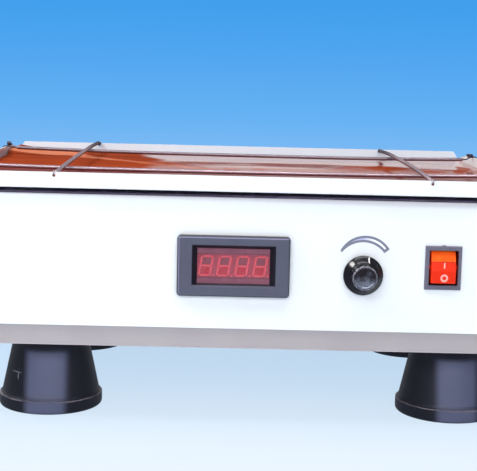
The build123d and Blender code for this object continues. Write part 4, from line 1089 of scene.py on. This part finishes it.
class SHAKER_OT_meter(bpy.types.Operator):
    """Light the segments of the meter's digits"""

    bl_idname = "shaker.meter"
    bl_label = "Meter"

    def execute(self, context):
        sizes = context.scene.shaker_sizes
        half_width = sizes.digit_width / MM / 2
        half = sizes.digit_height / MM / 2
        middle_x, middle_z = middle_of("meter_window")
        middle_z -= DIGIT_DROP
        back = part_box("meter_display")[0][1] / MM - 0.012
        spots = []
        for digit in range(sizes.digits):
            x = middle_x - DIGIT_SHIFT
            x += (digit - (sizes.digits - 1) / 2) * sizes.digit_pitch / MM
            spots += [(x, up, 0.0, 1.0) for up in (half, 0.0, -half)]
            spots += [
                (x + side * half_width, up * half / 2, math.pi / 2, 1.0)
                for up in (1, -1) for side in (-1, 1)
            ]
            spots.append((x + half_width + 2.5, -half, 0.0, 0.2))
        base = guide(
            "segment_points", [(x, back, middle_z + up) for x, up, _, _ in spots], (),
            {"turn": [spot[2] for spot in spots], "share": [spot[3] for spot in spots]},
        )
        mesh = run_tree(
            segment_tree(), base,
            {"Length": sizes.digit_width - 0.9 * MM, "Width": sizes.digit_stroke,
             "Thickness": 0.02 * MM, "Lean": math.tan(sizes.digit_slant),
             "Middle height": middle_z * MM, "Material": finishes["lit_segment"]},
            "meter_digits",
        )
        outward(mesh)
        make_piece("meter_digits", mesh, "housing")
        return {"FINISHED"}


class SHAKER_OT_knob(bpy.types.Operator):
    """Turn the speed knob with its fluted grip, spun cap and pointer line"""

    bl_idname = "shaker.knob"
    bl_label = "Speed knob"

    def execute(self, context):
        sizes = context.scene.shaker_sizes
        x, z = middle_of("knob")
        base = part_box("knob")[1][1] / MM
        flute_share = {15: 0.3, 16: 0.8, **dict.fromkeys(range(17, 22), 1.0), 22: 0.9, 23: 0.6}

        def place(across, up, out):
            return (x + across, base - out, z + up)

        def fluted(index, radius, angle):
            dip = max(0.0, math.cos(sizes.flutes * angle)) ** 1.5
            return radius - sizes.flute_depth / MM * flute_share.get(index, 0.0) * dip

        body = [
            (0.0, 11.1), (3.05, 11.1), (3.05, 5.6), (9.0, 5.6), (9.0, 0.0), (13.6, 0.0),
            (13.9, 0.1), (14.0, 0.4), (14.0, 1.9), (13.9, 2.15), (13.7, 2.3), (12.3, 3.7),
            (10.9, 5.15), (9.9, 6.15), (9.5, 6.45), (9.2, 6.55), (9.05, 6.9), (8.95, 8.5),
            (8.85, 11.0), (8.75, 13.6), (8.65, 14.1, 1), (8.5, 14.4, 1), (8.2, 14.6, 1),
            (7.95, 14.6, 1), (7.75, 14.5), (7.65, 14.2), (7.65, 13.7), (0.0, 13.7),
        ]
        cap = [
            (0.0, 13.75), (7.55, 13.75), (7.55, 14.5), (7.45, 14.75), (7.2, 14.9), (6.7, 14.9),
            (6.4, 14.75), (6.2, 14.55), (3.5, 14.6), (0.0, 14.62),
        ]
        mesh = solid("knob_body", *lathe(body, 216, place, fluted), ["knob_plastic", "rim_metal"],
                     40)
        make_piece("knob_body", mesh, "speed_knob", ["knob"])
        mesh = solid("knob_disc", *lathe(cap, 96, place), ["cap_metal"], 40)
        make_piece("knob_disc", mesh, "speed_knob", ["knob_cap"])
        self.pointer(place)
        return {"FINISHED"}

    def pointer(self, place):
        """The white line from the grip's foot to the skirt's edge."""
        stations = (
            (10.15, 5.9, 21.0), (10.8, 5.25, 18.0), (11.6, 4.42, 16.4), (12.6, 3.4, 16.0),
            (13.55, 2.45, 16.0),
        )
        points = []
        for radius, out, degrees in stations:
            turn = Matrix.Rotation(math.radians(-degrees), 2)
            for side in (-0.48, 0.48):
                across, up = turn @ Vector((side, radius))
                points += [place(across, up, out + 0.05), place(across, up, out - 0.1)]
        loops = [[a, a + 2, a + 3, a + 1] for a in range(0, len(points), 4)]
        mesh = solid("knob_pointer", points, skin(loops), ["white_mark"])
        make_piece("knob_pointer", mesh, "speed_knob")


def arc_points(first, middle, last, steps):
    """Points along the arc from first to last that passes through the middle one."""
    (ax, az), (bx, bz), (cx, cz) = first, middle, last
    a, b, c = (x * x + z * z for x, z in (first, middle, last))
    twice = 2 * (ax * (bz - cz) + bx * (cz - az) + cx * (az - bz))
    x = (a * (bz - cz) + b * (cz - az) + c * (az - bz)) / twice
    z = (a * (cx - bx) + b * (ax - cx) + c * (bx - ax)) / twice
    radius = math.hypot(ax - x, az - z)
    begin = math.atan2(az - z, ax - x)
    sweep = math.atan2(cz - z, cx - x) - begin
    angles = [begin + sweep * i / steps for i in range(steps + 1)]
    return [Vector((x + radius * math.cos(t), z + radius * math.sin(t))) for t in angles]


class SHAKER_OT_wedge(bpy.types.Operator):
    """Print the speed wedge above the knob"""

    bl_idname = "shaker.wedge"
    bl_label = "Speed wedge"

    def execute(self, context):
        stroke = context.scene.shaker_sizes.print_stroke / MM
        steps = 60
        outer = arc_points((59.9, 129.3), (77.4, 140.5), (94.6, 131.2), steps)
        inner = arc_points((61.1, 128.2), (75.0, 135.8), (91.0, 128.4), steps)
        rows = []
        for step, (a, b) in enumerate(zip(outer, inner)):
            blunt = math.sqrt(1 - (1 - min(1.0, (step + 0.15) / 2)) ** 2)
            a, b = a.lerp(b, (1 - blunt) / 2), b.lerp(a, (1 - blunt) / 2)
            share = min(0.5, stroke / max((b - a).length, 1e-6))
            rows.append((a, a.lerp(b, share), b.lerp(a, share), b))
        close = steps - max(1, round(stroke / 0.62))
        for name, finish, bands, last_bands in (
            ("wedge_outline", "print_ink", ((0, 1), (2, 3)), ((0, 1), (1, 2), (2, 3))),
            ("wedge_fill", "print_fade", ((1, 2),), ()),
        ):
            quads = [
                (rows[step][low], rows[step + 1][low], rows[step + 1][high], rows[step][high])
                for step in range(steps) for low, high in (bands if step < close else last_bands)
            ]
            mesh = self.plate(name, finish, [
                quad for quad in quads
                if (quad[0] - quad[3]).length + (quad[1] - quad[2]).length > 1e-3
            ])
            make_piece(name, mesh, "housing")
        return {"FINISHED"}

    def plate(self, name, finish, quads):
        """A thin plate on the front panel that covers all the quads."""
        proud, thickness = 0.03, 0.028
        points = [(c.x, PANEL_Y - proud, c.y) for quad in quads for c in quad]
        faces = [(range(a, a + 4), 0) for a in range(0, len(points), 4)]
        mesh = mesh_from(name, points, faces, [finish], smooth=False)
        with edited(mesh) as shape:
            bmesh.ops.remove_doubles(shape, verts=shape.verts, dist=1e-6)
            made = bmesh.ops.extrude_face_region(
                shape, geom=list(shape.faces), use_keep_orig=True
            )
            back = [item for item in made["geom"] if isinstance(item, bmesh.types.BMVert)]
            bmesh.ops.translate(shape, verts=back, vec=(0.0, thickness * MM, 0.0))
            bmesh.ops.recalc_face_normals(shape, faces=shape.faces)
        return mesh


class SHAKER_OT_rocker(bpy.types.Operator):
    """Mould the rocker with soft edges and its on and off marks"""

    bl_idname = "shaker.rocker"
    bl_label = "Power rocker"

    # The front of the rocker from the side: how far each fold stands out, and its height.
    FRONT = ((3.4, 11.6), (4.35, 7.6), (5.6, 3.4), (5.45, 0.0), (5.6, -3.4), (4.35, -7.6),
             (3.4, -11.6))

    def execute(self, context):
        x = middle_of("rocker")[0]
        half = 8.65

        def place(across, out, up):
            return (
                x + across,
                PIVOT_Y - out * math.cos(ROCKER_TILT) + up * math.sin(ROCKER_TILT),
                PIVOT_Z + out * math.sin(ROCKER_TILT) + up * math.cos(ROCKER_TILT),
            )

        profile = (*self.FRONT, (-3.4, -10.4), (-3.4, 10.4))
        points = [place(side * half, out, up) for side in (-1, 1) for out, up in profile]
        count = len(profile)
        sides = skin((range(count), range(count, 2 * count)))
        lit = 2
        faces = [(corners, int(index < lit)) for index, (corners, _) in enumerate(sides)]
        body = mesh_from("rocker_body", points, faces, ["rocker_red", "rocker_orange"])
        with edited(body) as shape:
            bmesh.ops.recalc_face_normals(shape, faces=shape.faces)
            sharp = [e for e in shape.edges if e.calc_face_angle(0.0) > math.radians(10)]
            bmesh.ops.bevel(
                shape, geom=sharp, offset=0.45 * MM, offset_type="OFFSET", segments=3,
                profile=0.6, affect="EDGES", clamp_overlap=True, material=-1,
            )
        whole = joined("rocker_body", [body, self.pin(x - half + 0.5, -1),
                                       self.pin(x + half - 0.5, 1)])
        crease(whole, 30)
        make_piece("rocker_body", whole, "power_rocker", ["rocker"])
        self.marks(place)
        self.case_nib()
        return {"FINISHED"}

    def pin(self, start, side):
        """One of the two pins that the rocker tips on."""
        def place(a, b, height):
            return (start + side * height, PIVOT_Y + a, PIVOT_Z + b)

        profile = [(0.0, 0.0), (1.5, 0.0), (1.5, 2.1), (1.35, 2.3), (0.0, 2.3)]
        return solid("pin", *lathe(profile, 24, place), ["rocker_red"], 30)

    def marks(self, place):
        """The on bar by the crest and the off ring on the two lower facets."""
        def front_at(up):
            for (out, high), (next_out, low) in zip(self.FRONT, self.FRONT[1:]):
                if up >= low:
                    return out + (next_out - out) * (high - up) / (high - low)

        def loop(outline, lift):
            return [place(across, front_at(up) + lift, up) for across, up in outline]

        proud, sunk = 0.07, -0.15
        bar = ((0.15, 2.7), (1.15, 2.9), (1.05, -1.1), (0.05, -1.3))
        mesh = solid("rocker_on_mark", loop(bar, proud) + loop(bar, sunk),
                     skin((range(4)[::-1], range(4, 8)[::-1])), ["rocker_print"])
        make_piece("rocker_on_mark", mesh, "power_rocker")

        count = 48
        angles = [FULL_TURN * step / count for step in range(count)]
        points = []
        for radius, lift in ((1.35, proud), (2.7, proud), (2.7, sunk), (1.35, sunk)):
            circle = [(0.6 + radius * math.cos(t), -7.9 + radius * math.sin(t)) for t in angles]
            points += loop(circle, lift)
        loops = [range(edge * count, (edge + 1) * count) for edge in (0, 1, 2, 3, 0)]
        mesh = solid("rocker_off_mark", points, skin(loops, capped=False), ["rocker_print"], 40)
        make_piece("rocker_off_mark", mesh, "power_rocker")

    def case_nib(self):
        """The small moulding nib on top of the switch bezel."""
        low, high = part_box("switch_case")
        centre = Vector((middle_of("switch_case")[0], low[1] / MM + 1.0, high[2] / MM + 0.1))
        mesh = bpy.data.meshes.new("switch_nib")
        mesh.materials.append(finishes["panel_plastic"])
        with edited(mesh) as shape:
            bmesh.ops.create_cube(shape, size=1.0)
            for vert in shape.verts:
                vert.co = (centre + vert.co * Vector((2.6, 1.6, 0.8))) * MM
            bmesh.ops.bevel(
                shape, geom=list(shape.edges), offset=0.18 * MM, offset_type="OFFSET",
                segments=2, profile=0.5, affect="EDGES",
            )
        crease(mesh, 40)
        make_piece("switch_nib", mesh, "housing")


class SHAKER_OT_screws(bpy.types.Operator):
    """Set cross-recess screws in both sides of the cover"""

    bl_idname = "shaker.screws"
    bl_label = "Cover screws"

    def execute(self, context):
        def recessed(a, b, height):
            radius = math.hypot(a, b)
            if height > 1.5 and radius < 2.0 and min(abs(a), abs(b)) < 0.35:
                height -= 1.3 * (1 - radius / 2.4)
            return (a, b, height)

        profile = [(0.0, -7.0), (1.6, -7.0), (2.0, -6.4), (2.0, 0.0), (3.5, 0.0), (3.5, 0.5),
                   (3.35, 1.1), (2.9, 1.7), (2.2, 2.1), (1.6, 2.3), (0.9, 2.38), (0.0, 2.4)]
        mesh = solid("screw_head", *lathe(profile, 64, recessed), ["zinc"], 35)
        head = new_object("screw_head", mesh)
        cover_side, screw_height = 215.0, 82.0
        spots = [(side, y) for side in (-1, 1) for y in (-110.0, 110.0)]
        base = guide(
            "screw_points", [(side * cover_side, y, screw_height) for side, y in spots], (),
            {"facing": [(side, 0.0, 0.0) for side, _ in spots]},
        )
        built = run_tree(
            screw_tree(), base, {"Head": head, "Material": finishes["zinc"]}, "side_screws"
        )
        bpy.data.objects.remove(head, do_unlink=True)
        make_piece("side_screws", built, "housing", ["cover_screws"])
        return {"FINISHED"}


class SHAKER_OT_stage(bpy.types.Operator):
    """Set the pale floor and backdrop, the soft lamps and the camera"""

    bl_idname = "shaker.stage"
    bl_label = "Stage"

    EYE = (-0.0218, -1.0121, 0.2585)
    PITCH, ROLL, YAW = (math.radians(angle) for angle in (7.92, 1.42, -0.68))
    FOCAL_PIXELS, PICTURE_PIXELS = 1245.1, 477
    # The focal length in picture heights, which grades the backdrop.
    FOCAL_HEIGHTS = 2.64
    FLOOR_FRONT, BEND_START, BEND_RADIUS, WALL_STEP = -2.4, 1.6, 1.2, 0.2

    def execute(self, context):
        self.backdrop()
        self.lamps(context)
        self.camera(context)
        return {"FINISHED"}

    def backdrop(self):
        """Floor that curves up to a wall, its colour graded by height in the picture."""
        radius, wall = self.BEND_RADIUS, self.BEND_START + self.BEND_RADIUS
        profile = [(self.FLOOR_FRONT + 0.1 * step, 0.0) for step in range(40)]
        for step in range(25):
            angle = math.pi / 2 * step / 24
            profile.append((
                self.BEND_START + radius * math.sin(angle), radius - radius * math.cos(angle)
            ))
        profile += [(wall, radius + self.WALL_STEP * step) for step in range(1, 12)]
        count = len(profile)
        mesh = bpy.data.meshes.new("backdrop")
        mesh.from_pydata(
            [(x, y, z) for x in (-3.2, 3.2) for y, z in profile], [],
            [(i, i + count, i + count + 1, i + 1) for i in range(count - 1)],
        )
        rise = []
        for y, z in profile:
            down = math.atan2(self.EYE[2] - z, max(y - self.EYE[1], 0.25)) - self.PITCH
            rise.append(min(max(0.5 - self.FOCAL_HEIGHTS * math.tan(down), 0.0), 1.0))
        layer = mesh.uv_layers.new(name="sweep")
        for polygon in mesh.polygons:
            polygon.use_smooth = True
            for loop in polygon.loop_indices:
                index = mesh.loops[loop].vertex_index
                layer.data[loop].uv = (index // count, rise[index % count])
        mesh.materials.append(self.backdrop_finish())
        new_object("backdrop", mesh)

    def backdrop_finish(self):
        """Blue grading for the camera, a bright far wall for reflections, pale for the rest."""
        material = bpy.data.materials.new("pale_backdrop")
        material.use_nodes = True
        tree = material.node_tree
        tree.nodes.clear()

        def blend(share, first, second):
            return add(tree, "ShaderNodeMixShader", {0: share, 1: first, 2: second})

        def shine(tone, strength):
            return add(tree, "ShaderNodeEmission", {"Color": tone, "Strength": strength})

        place = add(tree, "ShaderNodeTexCoord", output="Object")
        sweep_map = add(tree, "ShaderNodeUVMap", uv_map="sweep")
        grading = add(tree, "ShaderNodeValToRGB", {
            0: add(tree, "ShaderNodeSeparateXYZ", {0: sweep_map}, "Y")})
        stops = (
            (0.0, (237, 246, 255)), (0.02, (234, 244, 254)), (0.19, (207, 231, 253)),
            (0.27, (199, 226, 250)), (0.75, (103, 178, 243)), (0.87, (83, 167, 240)),
            (0.98, (67, 160, 237)), (1.0, (64, 158, 236)),
        )
        marks = grading.socket.node.color_ramp.elements
        while len(marks) < len(stops):
            marks.new(0.5)
        for mark, (spot, tone) in zip(marks, stops):
            mark.position = spot
            mark.color = srgb(*tone)
        diffuse = add(tree, "ShaderNodeBsdfDiffuse", {"Color": srgb(225, 238, 252)})
        wall = add(tree, "ShaderNodeSeparateXYZ", {0: place}, "Y").ramp(1.2, 1.9)
        mirror = blend(wall, shine((0.6, 0.66, 0.78, 1.0), 0.42),
                       shine((0.97, 0.97, 1.0, 1.0), 0.98))
        away = add(tree, "ShaderNodeVectorMath", {0: place}, "Value", operation="LENGTH")
        camera_ray = add(tree, "ShaderNodeLightPath", output="Is Camera Ray")
        glossy = camera_ray.beside("Is Glossy Ray").larger(
            camera_ray.beside("Is Transmission Ray"))
        seen = camera_ray * (away.ramp(0.3, 0.9) * 0.12 + 0.88)
        surface = blend(glossy, blend(seen, diffuse, shine(grading, 1.0)), mirror)
        end = tree.nodes.new("ShaderNodeOutputMaterial")
        wire(tree, end.inputs["Surface"], surface)
        return material

    def lamps(self, context):
        world = bpy.data.worlds.new("studio")
        world.use_nodes = True
        background = world.node_tree.nodes["Background"].inputs
        background["Color"].default_value = (0.93, 0.96, 1.0, 1.0)
        background["Strength"].default_value = 0.25
        context.scene.world = world
        target = Vector((0.0, -0.1, 0.1))
        for name, spot, width, depth, power, tint in (
            ("front_lamp", (-0.1, -1.9, 1.05), 2.6, 0.6, 22.0, (1.0, 1.0, 1.0)),
            ("side_lamp", (-1.02, -0.3, 1.12), 0.42, 0.42, 13.0, (1.0, 0.99, 0.98)),
            ("upper_lamp", (0.0, -0.75, 1.7), 1.6, 0.5, 12.0, (0.98, 0.99, 1.0)),
        ):
            data = bpy.data.lights.new(name, "AREA")
            data.shape = "RECTANGLE"
            data.size = width
            data.size_y = depth
            data.energy = power
            data.color = tint
            lamp = new_object(name, data)
            lamp.location = spot
            lamp.rotation_euler = (target - Vector(spot)).to_track_quat("-Z", "Y").to_euler()

    def camera(self, context):
        level = Vector((math.cos(self.YAW), math.sin(self.YAW), 0.0))
        ahead = Vector((-math.sin(self.YAW), math.cos(self.YAW), 0.0))
        above = Vector((0.0, 0.0, 1.0))
        forward = ahead * math.cos(self.PITCH) - above * math.sin(self.PITCH)
        up = ahead * math.sin(self.PITCH) + above * math.cos(self.PITCH)
        right = level * math.cos(self.ROLL) + up * math.sin(self.ROLL)
        head = up * math.cos(self.ROLL) - level * math.sin(self.ROLL)
        data = bpy.data.cameras.new("camera")
        data.sensor_fit = "HORIZONTAL"
        data.sensor_width = 36.0
        data.lens = data.sensor_width * self.FOCAL_PIXELS / self.PICTURE_PIXELS
        data.clip_start = 0.05
        camera = new_object("camera", data)
        turn = Matrix((right, head, -forward)).transposed().to_4x4()
        camera.matrix_world = Matrix.Translation(self.EYE) @ turn
        context.scene.camera = camera


class SHAKER_PT_panel(bpy.types.Panel):
    """Lists the shaker's sizes, colours and pieces"""

    bl_idname = "SHAKER_PT_panel"
    bl_label = "Destaining shaker"
    bl_space_type = "VIEW_3D"
    bl_region_type = "UI"
    bl_category = "Shaker"

    def draw(self, context):
        for group in (context.scene.shaker_sizes, context.scene.shaker_colours):
            box = self.layout.box()
            for name in group.__annotations__:
                box.prop(group, name)
        for operator in operators:
            self.layout.operator(operator.bl_idname)


operators = (
    SHAKER_OT_finishes, SHAKER_OT_mat, SHAKER_OT_springs, SHAKER_OT_meter, SHAKER_OT_knob,
    SHAKER_OT_wedge, SHAKER_OT_rocker, SHAKER_OT_screws, SHAKER_OT_stage,
)


def register():
    for cls in (ShakerSizes, ShakerColours, *operators, SHAKER_PT_panel):
        bpy.utils.register_class(cls)
    bpy.types.Scene.shaker_sizes = PointerProperty(type=ShakerSizes)
    bpy.types.Scene.shaker_colours = PointerProperty(type=ShakerColours)


def unregister():
    del bpy.types.Scene.shaker_colours
    del bpy.types.Scene.shaker_sizes
    for cls in (SHAKER_PT_panel, *reversed(operators), ShakerColours, ShakerSizes):
        bpy.utils.unregister_class(cls)


def main():
    register()
    bpy.context.scene.view_settings.view_transform = "Standard"
    bpy.ops.shaker.finishes()
    bpy.ops.shaker.mat()
    bpy.ops.shaker.springs()
    bpy.ops.shaker.meter()
    bpy.ops.shaker.knob()
    bpy.ops.shaker.wedge()
    bpy.ops.shaker.rocker()
    bpy.ops.shaker.screws()
    bpy.ops.shaker.stage()


if __name__ == "__main__":
    main()
